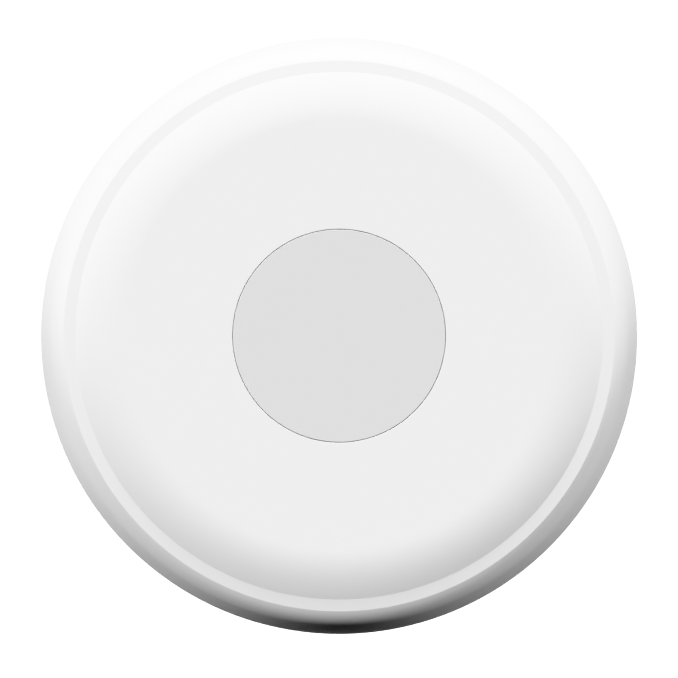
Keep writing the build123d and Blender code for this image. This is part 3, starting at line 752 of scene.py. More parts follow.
def flatten(piece: bpy.types.Object) -> None:
    """Gives a piece a copy of its mesh, which it shares with no other object.

    Args:
        piece: the piece.
    """
    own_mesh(piece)


@dataclass(frozen=True)
class FrontCover:
    """The white moulding round the key: flat top, dome, land, bevel, side, bosses and guide.

    The widths are those of its stretches as seen from above, and the leans are from level.
    """

    side_width: float = 0.81 * MM
    bevel_width: float = 1.22 * MM
    land_width: float = 0.97 * MM
    dome_width: float = 4.05 * MM
    side_lean: float = 72.5
    bevel_lean: float = 25.0
    land_lean: float = 6.0
    dome_lean: float = 22.0
    wall: float = 1.6 * MM
    lip_wall: float = 0.8 * MM
    opening_radius: float = 8.913 * MM
    opening_edge: float = 0.04 * MM
    crest_edge: float = 0.04 * MM
    foot_edge: float = 0.1 * MM
    guide_radius: float = 10.3 * MM
    guide_wall: float = 1.0 * MM
    guide_depth: float = 1.6 * MM
    slot_half_width: float = 1.3 * MM
    boss_radius: float = 1.89 * MM
    boss_bore_radius: float = 1.04 * MM
    boss_bore_top: float = 8.8 * MM
    shoulder_width: float = 0.7 * MM
    shoulder_height: float = 0.05 * MM
    sunk: float = 0.3 * MM
    inner_edge: float = 0.1 * MM

    def skin(self, inset: float) -> np.ndarray:
        """The section's line from the end of the flat top to the side, moved in by an inset.

        The dome, the bevel and the side are arcs. An arc's radius is its width seen from above
        over the difference between the sines of its two leans, and the side's arc carries the
        bevel's on without a break.

        Args:
            inset: how far inside the outer surface the line runs.

        Returns:
            Corners for rounded.
        """
        reach = Reach.of("front_cover")
        leans = np.radians((self.side_lean, self.bevel_lean, self.land_lean, self.dome_lean))
        (side_sin, bevel_sin, _, dome_sin), cosines = np.sin(leans), np.cos(leans)
        side_r = reach.radius - self.side_width
        dome_r = side_r - self.bevel_width - self.land_width
        dome = self.dome_width / dome_sin
        edge_z = reach.high - dome * (1 - cosines[3])
        land_z = edge_z - self.land_width * np.tan(leans[2])
        bevel = self.bevel_width / (side_sin - bevel_sin)
        bevel_z = land_z - bevel * cosines[1]
        bevel_middle = (side_r - bevel * side_sin, bevel_z)
        side = self.side_width / (1 - side_sin)
        side_middle = (reach.radius - side, bevel_z + (bevel - side) * cosines[0])
        dome_middle = (dome_r - self.dome_width, reach.high - dome)
        dome_line = bend(dome_middle, dome - inset, 0, self.dome_lean)
        bevel_line = bend(bevel_middle, bevel - inset, self.bevel_lean, self.side_lean)
        side_line = bend(side_middle, side - inset, self.side_lean, 90)
        dome_line[[0, -1], 2] = bevel_line[0, 2] = side_line[-1, 2] = 0
        if not inset:
            dome_line[-1, 2] = bevel_line[0, 2] = self.crest_edge
        return np.vstack((dome_line, bevel_line, side_line[1:]))

    def shell(self) -> Form:
        """The outer wall, from the key's opening round its outside and back along its inside.

        Returns:
            The cover without its guide and bosses.
        """
        reach, seal_top = Reach.of("front_cover"), Reach.of("case_seal").high
        rim, edge = self.opening_radius, self.inner_edge
        lip, room = reach.radius - self.lip_wall, reach.radius - self.wall
        first, last = (rim, reach.high, self.opening_edge), (rim, reach.high - self.wall, edge)
        foot = (
            (reach.radius, reach.low, self.foot_edge), (lip, reach.low, edge),
            (lip, seal_top, edge), (room, seal_top, edge),
        )
        return ring(*np.vstack((first, self.skin(0), foot, self.skin(self.wall)[::-1], last)))

    def guide(self) -> Form:
        """The ring that the key slides in, in two halves.

        Each half runs from the angle whose sine is the slot's half width over the distance to the
        same angle on the other side, so that the two slots have parallel sides.

        Returns:
            Both halves.
        """
        under, edge = Reach.of("front_cover").high - self.wall, self.inner_edge
        inner, outer = self.guide_radius, self.guide_radius + self.guide_wall
        low, high = under - self.guide_depth, under + self.sunk
        corners = ((inner, low, edge), (outer, low, edge), (outer, high, 0), (inner, high, 0))
        outline = rounded(corners)
        first = np.arcsin(self.slot_half_width / outline[None, :, 0])
        share = np.linspace(0, 1, AXIS_STEPS // 2)[:, None]
        return turned(outline, first + share * (np.pi - 2 * first)).around(HALVES)

    def bosses(self) -> Form:
        """The screw bosses: bored tubes that widen above the board and end in the cover's wall.

        A boss's highest points are set a little above the underside at their own distance.

        Returns:
            The three bosses.
        """
        screws, reach = Screws(), Reach.of("front_cover")
        shoulder = Reach.of("circuit_board").high + self.shoulder_height
        bore, bore_top, edge = self.boss_bore_radius, self.boss_bore_top, self.inner_edge
        tube, wide = self.boss_radius, self.boss_radius + self.shoulder_width
        boss = ring(
            (bore, reach.low, edge), (tube, reach.low, edge), (tube, shoulder, edge),
            (wide, shoulder, edge), (wide, reach.high, 0), (0, reach.high, 0),
            (0, bore_top, 0), (bore, bore_top, 0), steps=SMALL_STEPS,
        )
        forms = boss.around(screws.angles, screws.circle())
        points = forms.points.copy()
        ends = points[:, 2] > bore_top + self.guide_depth
        distance = np.hypot(points[ends, 0], points[ends, 1])
        line = self.skin(self.wall)
        points[ends, 2] = np.interp(distance, line[:, 0], line[:, 1]) + self.sunk
        return Form(points, forms.faces)

    def build(self) -> None:
        """Makes the cover's pieces."""
        dress("cover_shell", self.shell(), COVER_WHITE, "front_cover")
        dress("cover_guide", self.guide(), COVER_WHITE)
        dress("cover_bosses", self.bosses(), COVER_WHITE)


@dataclass(frozen=True)
class Key:
    """The light grey disc that is pressed, with its skirt, flange, tabs and boss."""

    face_radius: float = 8.863 * MM
    thickness: float = 1.5 * MM
    skirt_wall: float = 1.2 * MM
    flange_radius: float = 10.2 * MM
    flange_thickness: float = 0.8 * MM
    boss_radius: float = 2.5 * MM
    tab_width: float = 2.4 * MM
    face_edge: float = 0.04 * MM
    inner_edge: float = 0.15 * MM

    def disc(self) -> Form:
        """The key's face, skirt, flange and boss, turned about the axis.

        Returns:
            The key without its tabs.
        """
        reach, boss_low = Reach.of("key_cap"), Reach.of("switch_plunger").high
        under, flange_top = reach.high - self.thickness, reach.low + self.flange_thickness
        face, flange, boss = self.face_radius, self.flange_radius, self.boss_radius
        skirt, edge = face - self.skirt_wall, self.inner_edge
        return ring(
            (0, boss_low, 0), (boss, boss_low, edge), (boss, under, edge), (skirt, under, edge),
            (skirt, reach.low, edge), (flange, reach.low, edge), (flange, flange_top, edge),
            (face, flange_top, self.face_edge), (face, reach.high, self.face_edge),
            (0, reach.high, 0),
        )

    def tabs(self) -> Form:
        """Two blocks on the flange, which run in the guide's slots.

        Returns:
            Both tabs.
        """
        reach = Reach.of("key_cap")
        start = (self.face_radius + self.flange_radius) / 2
        size = (reach.radius - start, self.tab_width, self.flange_thickness)
        tab = block(size, reach.low, self.inner_edge, self.inner_edge)
        return tab.around(HALVES, (start + reach.radius) / 2)

    def build(self) -> None:
        """Makes the key's pieces."""
        dress("key_disc", self.disc(), KEY_GREY, "key_cap", "key")
        dress("key_tabs", self.tabs(), KEY_GREY, body="key")


@dataclass(frozen=True)
class ReturnBoot:
    """The silicone boot between the board and the key, whose wall folds as the key goes down."""

    foot_width: float = 1.6 * MM
    foot_height: float = 0.6 * MM
    wall: float = 0.5 * MM
    lean: float = 1.4 * MM
    collar_height: float = 0.9 * MM
    collar_width: float = 1.4 * MM
    edge: float = 0.2 * MM

    def form(self) -> Form:
        """The foot, the leaning wall and the collar, with soft corners.

        Returns:
            The boot at rest.
        """
        reach, edge = Reach.of("return_boot"), self.edge
        foot_in, foot_top = reach.radius - self.foot_width, reach.low + self.foot_height
        collar, collar_low = foot_in - self.lean, reach.high - self.collar_height
        outside = collar + self.wall
        inner = outside - self.collar_width
        return ring(
            (foot_in, reach.low, edge), (reach.radius, reach.low, edge),
            (reach.radius, foot_top, edge), (foot_in + self.wall, foot_top, 2 * edge),
            (outside, collar_low, 2 * edge), (outside, reach.high, edge),
            (inner, reach.high, edge), (inner, collar_low + self.wall, edge),
            (collar, collar_low, 2 * edge), (foot_in, foot_top, 2 * edge),
        )

    def build(self) -> None:
        """Makes the boot, and gives it a mesh of its own."""
        reach = Reach.of("return_boot")
        boot = dress("boot", self.form(), BOOT_SILICONE, "return_boot")
        flatten(boot)


@dataclass(frozen=True)
class Screws:
    """Three pan head screws that hold the covers together from below."""

    angles: tuple[float, ...] = (90.0, 210.0, 330.0)
    head_radius: float = 1.8 * MM
    head_height: float = 1.1 * MM
    head_edge: float = 0.3 * MM
    crown: float = 0.12 * MM
    shaft_radius: float = 1.0 * MM
    root_radius: float = 0.8 * MM
    pitch: float = 0.45 * MM
    crest_gain: float = 1.3
    neck: float = 0.3 * MM
    point: float = 0.9 * MM
    recess_half_width: float = 0.25 * MM
    recess_half_length: float = 0.95 * MM
    recess_depth: float = 0.6 * MM
    recess_slope: float = 0.08 * MM
    rows_per_turn: int = 14
    face_steps: int = 40

    def circle(self) -> float:
        """The distance of the screws from the axis."""
        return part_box("case_screws")[1].y - self.head_radius

    def head(self) -> Form:
        """The head, whose underside has a crown and a cross recess.

        The face's height rises with the fourth power of the distance from its middle. Inside the
        cross it rises further, by the recess's depth times how far the point is inside over the
        slope's width, up to one.

        Returns:
            One head, over the origin.
        """
        low, wide = Reach.of("case_screws").low, self.head_radius
        seat = low + self.head_height
        face = marked(np.linspace(0, wide - 2 * self.head_edge, self.face_steps), low)
        rest = ((wide, low, self.head_edge), (wide, seat, GUARD), (0, seat, 0))
        form = ring(*np.vstack((face, rest)), steps=2 * SMALL_STEPS)
        points = form.points.copy()
        x, y = np.abs(points[:, 0]), np.abs(points[:, 1])
        upright = np.minimum(self.recess_half_width - x, self.recess_half_length - y)
        level = np.minimum(self.recess_half_width - y, self.recess_half_length - x)
        inside = np.clip(np.maximum(upright, level) / self.recess_slope, 0, 1)
        crown = self.crown * (np.hypot(x, y) / wide) ** 4
        on_face = points[:, 2] < low + WELD
        points[on_face, 2] += (crown + self.recess_depth * inside)[on_face]
        return Form(points, form.faces)

    def shaft(self) -> Form:
        """The threaded shaft.

        At height z and angle f the thread's phase is z over the pitch less f over a full turn. The
        distance from the axis runs from the root to the crest as twice the phase's distance from
        a half, cut off flat at the crest, and less towards the point.

        Returns:
            One shaft, over the origin.
        """
        reach = Reach.of("case_screws")
        low, high = reach.low + self.head_height - self.neck, reach.high
        rows = int((high - low) / self.pitch * self.rows_per_turn)
        z = np.linspace(low, high, rows)[None, :]
        angle = np.linspace(0, FULL_TURN, SMALL_STEPS, endpoint=False)[:, None]
        phase = (z / self.pitch - angle / FULL_TURN) % 1.0
        crest = np.clip(self.crest_gain * np.abs(2 * phase - 1), 0, 1)
        start = np.clip((z - low - self.neck) / self.neck, 0, 1)
        taper = np.clip((high - z) / self.point, 0, 1)
        radius = self.root_radius + (self.shaft_radius - self.root_radius) * crest * start
        radius = radius * np.sqrt(taper)
        upright = np.broadcast_to(z, radius.shape)
        body = np.stack((radius * np.cos(angle), radius * np.sin(angle), upright), axis=-1)
        pole = np.broadcast_to(np.array((0, 0, low)), (SMALL_STEPS, 1, 3))
        return Form.grid(np.concatenate((pole, body), axis=1))

    def build(self) -> None:
        """Makes the screws as one group."""
        screws = joined((self.head(), self.shaft())).around(self.angles, self.circle())
        dress("case_screw_set", screws, SCREW_STEEL, "case_screws")


@dataclass(frozen=True)
class Seals:
    """The ring in the seam between the covers, and the ring at the door's root."""

    lip: float = 0.08 * MM
    cord_radius: float = 0.5 * MM
    flash: float = 0.02 * MM
    flash_spread: float = 0.08
    edge: float = 0.12 * MM
    case_wall: float = 0.64 * MM

    def case_ring(self) -> Form:
        """A flat ring whose top has a lip at each side.

        Returns:
            The ring between the covers.
        """
        reach, edge, third = Reach.of("case_seal"), self.edge, self.case_wall / 3
        inner, outer, dip = reach.radius - self.case_wall, reach.radius, reach.high - self.lip
        return ring(
            (inner, reach.low, edge), (outer, reach.low, edge), (outer, reach.high, edge),
            (outer - third, dip, edge), (inner + third, dip, edge), (inner, reach.high, edge),
        )

    def door_ring(self) -> Form:
        """A cord ring: a circle carried round, with the thin ridge where its mould parted.

        The cord's radius is drawn in by the flash but for a narrow bump at the outermost line.

        Returns:
            The ring round the door's plug.
        """
        reach = Reach.of("door_seal")
        angle = np.linspace(-np.pi, np.pi, SMALL_STEPS, endpoint=False)
        ridge = np.exp(-((angle / self.flash_spread) ** 2))
        radius = self.cord_radius - self.flash * (1 - ridge)
        distance = reach.radius - self.cord_radius + radius * np.cos(angle)
        return turned(np.stack((distance, reach.middle + radius * np.sin(angle)), axis=1))

    def build(self) -> None:
        """Makes both seals."""
        dress("case_seal_ring", self.case_ring(), SEAL_SILICONE, "case_seal")
        dress("door_seal_ring", self.door_ring(), SEAL_SILICONE, "door_seal", "seal")


@dataclass(frozen=True)
class AdhesivePad:
    """The ring of foam tape that the button stands on."""

    width: float = 6.0 * MM
    ripple: float = 0.03 * MM
    ripple_counts: tuple[int, ...] = (61, 97, 143)
    edge: float = 0.08 * MM
    layers: int = 9

    def form(self) -> Form:
        """The ring, whose cut sides are a little uneven.

        The sides move by the ripple times the mean of several sines of the angle, whose phases
        differ at each height, so that the cells look cut through.

        Returns:
            The pad.
        """
        reach, edge = Reach.of("adhesive_pad"), self.edge
        inner, outer = reach.radius - self.width, reach.radius - self.ripple
        side = marked(outer, np.linspace(reach.low + edge, reach.high - edge, self.layers))
        back = side[::-1].copy()
        back[:, 0] = inner + self.ripple
        foot = ((inner + edge, reach.low, edge), (outer - edge, reach.low, edge))
        top = ((outer - edge, reach.high, edge), (inner + edge, reach.high, edge))
        form = ring(*np.vstack((foot, side, top, back)), steps=2 * AXIS_STEPS)
        points = form.points.copy()
        x, y = points[:, 0], points[:, 1]
        angle, distance = np.arctan2(y, x), np.hypot(x, y)
        row = np.round(points[:, 2] / (edge / 2))
        waves = [np.sin(count * angle + row * count) for count in self.ripple_counts]
        wave = sum(waves) / len(waves)
        between = (points[:, 2] > reach.low + edge / 2) & (points[:, 2] < reach.high - edge / 2)
        at_side = between & ((distance > outer - edge) | (distance < inner + 2 * edge))
        points[:, :2] *= (1 + np.where(at_side, wave * self.ripple / distance, 0))[:, None]
        return Form(points, form.faces)

    def build(self) -> None:
        pad = dress("foam_pad", self.form(), PAD_FOAM, "adhesive_pad")


@dataclass(frozen=True)
class CoinCell:
    """The coin cell: a can whose rim is rolled in over a gasket, a cap and the electrodes."""

    sheet: float = 0.25 * MM
    gasket_wall: float = 0.45 * MM
    can_edge: float = 0.35 * MM
    cap_edge: float = 0.3 * MM
    rim: float = 0.35 * MM
    rim_share: float = 1.4
    seat_depth: float = 0.12 * MM
    seat_width: float = 0.5 * MM
    edge: float = 0.06 * MM

    def can(self) -> Form:
        """The can, whose wall ends in a rim that leans inwards.

        Returns:
            The can, open at the top.
        """
        reach, edge, sheet, rim = Reach.of("cell_can"), self.edge, self.sheet, self.rim
        outer, wall, floor = reach.radius, reach.radius - sheet, reach.low + sheet
        return ring(
            (0, reach.low, 0), (outer, reach.low, self.can_edge), (outer, reach.high - rim, sheet),
            (outer - rim, reach.high, edge),
            (outer - self.rim_share * rim, reach.high - sheet / 2, edge),
            (wall, reach.high - rim - edge, edge), (wall, floor, edge), (0, floor, 0),
        )

    def gasket(self) -> Form:
        """The gasket, a ring with a foot under the cap's edge.

        Returns:
            The ring between can and cap.
        """
        reach, cap, edge = Reach.of("cell_gasket"), Reach.of("cell_cap"), self.edge
        outer, inner, foot = reach.radius, reach.radius - self.gasket_wall, cap.radius - self.sheet
        return ring(
            (foot, reach.low, edge), (outer, reach.low, edge),
            (outer, reach.high - self.rim - 2 * edge, edge), (outer - self.rim, reach.high, edge),
            (inner, reach.high, edge), (inner, cap.low, edge), (foot, cap.low, edge),
        )

    def cap(self) -> Form:
        """The cap, whose raised middle is stepped up from its edge.

        Returns:
            The cap, open at the bottom.
        """
        reach, edge, sheet = Reach.of("cell_cap"), self.edge, self.sheet
        outer, wall, step = reach.radius, reach.radius - sheet, reach.high - self.seat_depth
        flat, under = wall - self.seat_width, reach.high - sheet
        return ring(
            (0, under, 0), (flat, under, edge), (wall, step - sheet, edge), (wall, reach.low, edge),
            (outer, reach.low, edge), (outer, step, self.cap_edge), (flat + sheet, step, edge),
            (flat, reach.high, edge), (0, reach.high, 0),
        )

    def core(self) -> Form:
        """The two electrodes, with the separator's line between them.

        Returns:
            Both electrodes as one form.
        """
        reach, edge = Reach.of("cell_core"), self.edge
        outer, middle, top = reach.radius, reach.middle, reach.high - self.seat_depth
        return ring(
            (0, reach.low, 0), (outer, reach.low, edge), (outer, middle - edge, 0),
            (outer - edge, middle, 0), (outer, middle + edge, 0), (outer, top, edge),
            (outer - self.seat_width, top, edge), (0, top, 0),
        )

    def build(self) -> None:
        """Makes the cell's pieces."""
        dress("cell_shell", self.can(), CELL_STEEL, "cell_can")
        dress("cell_ring", self.gasket(), CELL_INSULATOR, "cell_gasket")
        dress("cell_lid", self.cap(), CELL_STEEL, "cell_cap")
        dress("cell_fill", self.core(), CELL_ELECTRODES, "cell_core")


@dataclass(frozen=True)
class Contacts:
    """The springs that press on the cell: two leaves on its side and three fingers on its cap."""

    sheet: float = 0.2 * MM
    leaf_width: float = 3.0 * MM
    finger_width: float = 1.6 * MM
    finger_angles: tuple[float, ...] = (90.0, 210.0, 330.0)
    hub_radius: float = 3.0 * MM
    bend_radius: float = 0.3 * MM
    flare: float = 0.12 * MM
    curl: float = 0.5 * MM
    edge: float = 0.03 * MM
    nub_radius: float = 0.9 * MM

    def leaf(self) -> Form:
        """A leaf: a foot on the board, a bend, and a tongue that flares at its tip.

        Returns:
            The leaf on the side of +X.
        """
        reach, bent = Reach.of("positive_contact"), self.bend_radius
        tongue = Reach.of("cell_can").radius + self.sheet / 2 + GUARD
        top = reach.high - self.sheet / 2
        path = open_line(
            (reach.radius, top, 0), (tongue, top, bent), (tongue, reach.low + self.curl, bent),
            (tongue + self.flare, reach.low, 0),
        )
        return strip(path, self.leaf_width, self.sheet, self.edge)

    def finger(self) -> Form:
        """A finger that slopes down from the hub to the cap and curls up at its tip.

        Returns:
            The finger that points along +X.
        """
        low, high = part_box("negative_contact")
        hub, bent = self.hub_radius, self.bend_radius
        top, tip = high.z - self.sheet / 2 - self.edge, low.z + self.sheet / 2
        path = open_line(
            (hub - self.curl, top, 0), (hub, top, bent), (high.y - self.curl, tip, bent),
            (high.y, tip + self.sheet / 2, 0),
        )
        return strip(path, self.finger_width, self.sheet, self.edge)

    def hub(self) -> Form:
        """The hub that the fingers join, a disc with a pressed rim in its middle.

        Returns:
            The hub.
        """
        high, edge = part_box("negative_contact")[1].z, self.edge
        low, dip = high - self.sheet, high - self.sheet / 2
        return ring(
            (0, low, 0), (self.hub_radius, low, edge), (self.hub_radius, high, edge),
            (self.nub_radius, high, edge), (self.nub_radius - self.sheet, dip, edge), (0, dip, 0),
            steps=SMALL_STEPS,
        )

    def build(self) -> None:
        """Makes both contacts."""
        dress("contact_leaves", self.leaf().around(HALVES), CONTACT_METAL, "positive_contact")
        fingers = joined((self.hub(), self.finger().around(self.finger_angles)))
        dress("contact_fingers", fingers, CONTACT_METAL, "negative_contact")


@dataclass(frozen=True)
class TactSwitch:
    """A tactile switch: moulded base, steel cover, snap dome, plunger and four bent leads.

    Its shapes are made upright from the side of the board that it is soldered to.
    """

    kind: str
    joint: str
    body: str
    plunger_finish: Finish
    side: float
    stem_radius: float
    dome_sheet: float
    lead_width: float
    lead_pitch: float
    lead_height: float
    lead_run: float
    upside_down: bool = False
    corner: float = 0.3 * MM
    edge: float = 0.04 * MM
    fit: float = 0.08 * MM
    play: float = 0.05 * MM
    lead_sheet: float = 0.15 * MM
    rivet_share: float = 0.07
    rivet_place_share: float = 0.39

    def reach(self, piece: str) -> Reach:
        """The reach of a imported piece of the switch.

        Args:
            piece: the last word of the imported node's name.

        Returns:
            The piece's reach, with its heights taken from the board's side.
        """
        reach, seat = Reach.of(f"{self.kind}_{piece}"), self.seat()
        heights = (abs(reach.low - seat), abs(reach.high - seat))
        return Reach(reach.radius, min(heights), max(heights))

    def seat(self) -> float:
        """The height of the board's side that carries the switch."""
        board = Reach.of("circuit_board")
        return board.low if self.upside_down else board.high

    def add(self, name: str, form: Form, finish: Finish, node: str, body: str) -> bpy.types.Object:
        """Makes a piece of the switch in its place on the board.

        Args:
            name: the last word of the piece's name.
            form: its upright form, over the origin.
            finish: its finish.
            node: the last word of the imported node's name.
            body: the body that it rides on.

        Returns:
            The piece, turned over where the switch hangs under the board.
        """
        low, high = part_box(f"{self.kind}_housing")
        middle = (low + high) / 2
        form = form.turned_over() if self.upside_down else form
        form = form.moved(middle.x, middle.y, self.seat())
        return dress(f"{self.kind}_{name}", form, finish, f"{self.kind}_{node}", body)

    def base(self) -> Form:
        """The base: a square with a round cavity, its floor, and four rivets through the cover.

        Returns:
            The base with its rivets.
        """
        cavity, cover = self.reach("plunger").radius + self.fit, self.reach("cover")
        walls = plate(self.side, self.corner, cavity, 0, cover.low, self.edge)
        floor = band(0, cavity + self.edge, self.edge, self.reach("dome").low)
        radius = self.rivet_share * self.side
        proud = radius / 3
        rivet = band(0, radius, cover.low, cover.high + proud, proud)
        place = self.rivet_place_share * self.side * np.sqrt(2)
        rivets = ring(*rivet, steps=TINY_STEPS).around(DIAGONALS, place)
        return joined((walls, ring(*floor, steps=SMALL_STEPS), rivets))

    def cover(self) -> Form:
        """The steel cover, a plate with a hole for the stem."""
        cover, hole = self.reach("cover"), self.stem_radius + self.fit
        return plate(self.side, self.corner, hole, cover.low, cover.high, self.edge)

    def dome(self) -> Form:
        """The snap dome, whose height falls with the square of the distance from its middle.

        Returns:
            The dome at rest.
        """
        dome, radius = self.reach("dome"), self.reach("plunger").radius
        distance = np.linspace(0, radius, 4 * CORNER_STEPS)
        outer = dome.high - (dome.height - self.dome_sheet) * (distance / radius) ** 2
        there, back = (distance, outer), (distance[::-1], outer[::-1] - self.dome_sheet)
        return turned(np.hstack((there, back)).T, steps=SMALL_STEPS)

    def plunger(self) -> Form:
        """The plunger: a flange under the cover and a stem through it.

        Returns:
            The plunger at rest.
        """
        reach, stem, edge = self.reach("plunger"), self.stem_radius, self.edge
        shoulder = self.reach("cover").low - self.play
        return ring(
            (0, reach.low, 0), (reach.radius, reach.low, edge), (reach.radius, shoulder, edge),
            (stem, shoulder, edge), (stem, reach.high, 3 * edge), (0, reach.high, 0),
            steps=SMALL_STEPS,
        )

    def leads(self) -> Form:
        """The leads, which come out of the base, bend down and lie on the board.

        Returns:
            All four leads.
        """
        half, side, sheet = self.lead_sheet / 2, self.side / 2, self.lead_sheet
        low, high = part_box(f"{self.kind}_terminals")
        down, out = side + self.lead_run - half, self.lead_height - half
        path = open_line(
            (side - self.corner, out, 0), (down, out, sheet), (down, half, sheet),
            ((high.x - low.x) / 2, half, 0),
        )
        lead = strip(path, self.lead_width, sheet, self.edge)
        return lead.paired(self.lead_pitch / 2).around(HALVES)

    def build(self) -> None:
        """Makes the switch's pieces, and gives the dome a mesh of its own."""
        self.add("base", self.base(), SWITCH_MOULDING, "housing", "housing")
        self.add("lid", self.cover(), SWITCH_STEEL, "cover", "housing")
        self.add("leads", self.leads(), LEAD_TIN, "terminals", "housing")
        self.add("button", self.plunger(), self.plunger_finish, "plunger", self.body)
        spring = self.add("spring", self.dome(), SWITCH_STEEL, "dome", "housing")
        dome = self.reach("dome")
        anchor = self.seat() - dome.low if self.upside_down else self.seat() + dome.low
        flatten(spring)


MAIN_SWITCH = TactSwitch(
    kind="switch",
    joint="switch_press",
    body="plunger",
    plunger_finish=PLUNGER_MOULDING,
    side=6.2 * MM,
    stem_radius=1.75 * MM,
    dome_sheet=0.1 * MM,
    lead_width=0.7 * MM,
    lead_pitch=4.5 * MM,
    lead_height=1.0 * MM,
    lead_run=0.6 * MM,
)
PAIRING_SWITCH = TactSwitch(
    kind="reset",
    joint="reset_press",
    body="pairing_plunger",
    plunger_finish=SWITCH_MOULDING,
    side=3.0 * MM,
    stem_radius=0.6 * MM,
    dome_sheet=0.08 * MM,
    lead_width=0.4 * MM,
    lead_pitch=2.0 * MM,
    lead_height=0.5 * MM,
    lead_run=0.35 * MM,
    upside_down=True,
)


@dataclass(frozen=True)
class BoardParts:
    """What is soldered to the top of the board, and the tracks and lands that join it."""

    edge: float = 0.05 * MM
    radio_side: float = 5.0 * MM
    power_side: float = 3.0 * MM
    pin_width: float = 0.24 * MM
    pin_length: float = 0.4 * MM
    pin_pitch: float = 0.5 * MM
    pin_proud: float = 0.03 * MM
    shield_side: float = 9.0 * MM
    shield_sheet: float = 0.15 * MM
    shield_corner: float = 0.5 * MM
    shield_lid_share: float = 0.65
    crystal_size: tuple[float, float] = (2.5 * MM, 3.2 * MM)
    lid_inset: float = 0.2 * MM
    led_side: float = 1.6 * MM
    lens_radius: float = 0.6 * MM
    lens_height: float = 0.5 * MM
    lens_round_share: float = 0.6
    antenna_size: tuple[float, float] = (2.0 * MM, 5.0 * MM)
    antenna_turns: int = 9
    antenna_line: float = 0.16 * MM
    antenna_end: float = 0.5 * MM
    capacitor_size: tuple[float, float, float] = (0.8 * MM, 1.6 * MM, 0.8 * MM)
    capacitor_angles: tuple[float, ...] = (56, 64, 112, 120, 236, 246, 294, 304)
    resistor_size: tuple[float, float, float] = (0.5 * MM, 1.0 * MM, 0.35 * MM)
    resistor_angles: tuple[float, ...] = (44, 50, 70, 106, 196, 202)
    metal_end_share: float = 0.22
    land_shares: tuple[float, float, float] = (1.2, 0.4, 1.5)
    land_place_share: float = 0.45
    hole_land_gap: float = 0.25 * MM
    hole_land_width: float = 0.4 * MM
    track_width: float = 0.25 * MM
    track_height: float = 0.035 * MM
    spoke_height_share: float = 0.9
    arc_step: float = 2.0
    least_arc_steps: int = 4
    spoke_offset: float = 2.2
    bare_angles: tuple[float, float] = (190, 220)
    inner_circle: float = 11.7 * MM
    outer_circle: float = 18.0 * MM
    arcs: tuple[tuple[float, float, float], ...] = (
        (inner_circle, 40, 75),
        (inner_circle, 100, 125),
        (inner_circle, 190, 250),
        (inner_circle, 290, 308),
        (12.4 * MM, 8, 130),
        (12.4 * MM, 255, 285),
        (outer_circle, 42, 72),
        (outer_circle, 104, 124),
        (outer_circle, 230, 306),
        (21.9 * MM, 22, 338),
    )

    def chip(self, node: str, side: float, pins: int) -> None:
        """A flat chip with a row of metal pins along each side and a round mark at one corner.

        Args:
            node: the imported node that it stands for.
            side: the chip's side.
            pins: how many pins each side has.
        """
        reach, length, proud = Reach.of(node), self.pin_length, self.pin_proud
        body = block((side, side, reach.height), reach.low, self.edge, self.edge)
        dot, corner = length / 2, side / 2 - 2 * length
        mark = ring(*band(0, dot, reach.high - dot, reach.high + proud, proud), steps=TINY_STEPS)
        dress(f"{node}_body", joined((body, mark.moved(corner, corner))).at(node), CHIP_EPOXY, node)
        pin = block((length, self.pin_width, self.pin_width), reach.low, self.edge, proud)
        places = self.pin_pitch * (np.arange(pins) - (pins - 1) / 2)
        row = joined([pin.moved(side / 2 - length / 2 + proud, place) for place in places])
        dress(f"{node}_pins", row.around(QUARTERS).at(node), LEAD_TIN)

    def shield(self) -> None:
        """The radio's shield: a frame on the board and a lid that is pushed over it."""
        reach, sheet, edge = Reach.of("shield_can"), self.shield_sheet, self.edge
        split = reach.high - self.shield_lid_share * reach.height
        forms = []
        for inset, low, high in ((0, split, reach.high), (sheet, reach.low, reach.high - sheet)):
            half = self.shield_side / 2 - inset
            wall, roof, flat = half - sheet, high - sheet, half / 2
            profile = open_line(
                (flat, roof, 0), (wall, roof, edge), (wall, low, edge / 2), (half, low, edge / 2),
                (half, high, 2 * edge), (flat, high, 0),
            )
            forms.append(stacked(rounded_square(half, self.shield_corner), profile))
        dress("shield_lid", joined(forms).at("shield_can"), SHIELD_STEEL, "shield_can")

    def crystal(self) -> None:
        """The crystal: a ceramic base with a metal lid."""
        reach, edge, (width, length) = Reach.of("crystal"), self.edge, self.crystal_size
        base = block((width, length, reach.middle - reach.low), reach.low, 2 * edge, edge)
        across, along = width - 2 * self.lid_inset, length - 2 * self.lid_inset
        size = (across, along, reach.high - reach.middle + edge)
        lid = block(size, reach.middle - edge, 4 * edge, 2 * edge)
        dress("crystal_lid", lid.at("crystal"), SHIELD_STEEL, "crystal")
        dress("crystal_base", base.at("crystal"), CHIP_EPOXY)

    def led(self) -> None:
        """The indicator: a white base and a domed lens."""
        node = "indicator_led"
        reach, edge = Reach.of(node), self.edge
        split = reach.high - self.lens_height
        base = block((self.led_side, self.led_side, split - reach.low), reach.low, edge, edge)
        crown = self.lens_height * self.lens_round_share
        lens = ring(*band(0, self.lens_radius, split - edge, reach.high, crown), steps=SMALL_STEPS)
        dress("indicator_lens", lens.at(node), LED_LENS, node)
        dress("indicator_base", base.at(node), ANTENNA_CERAMIC)

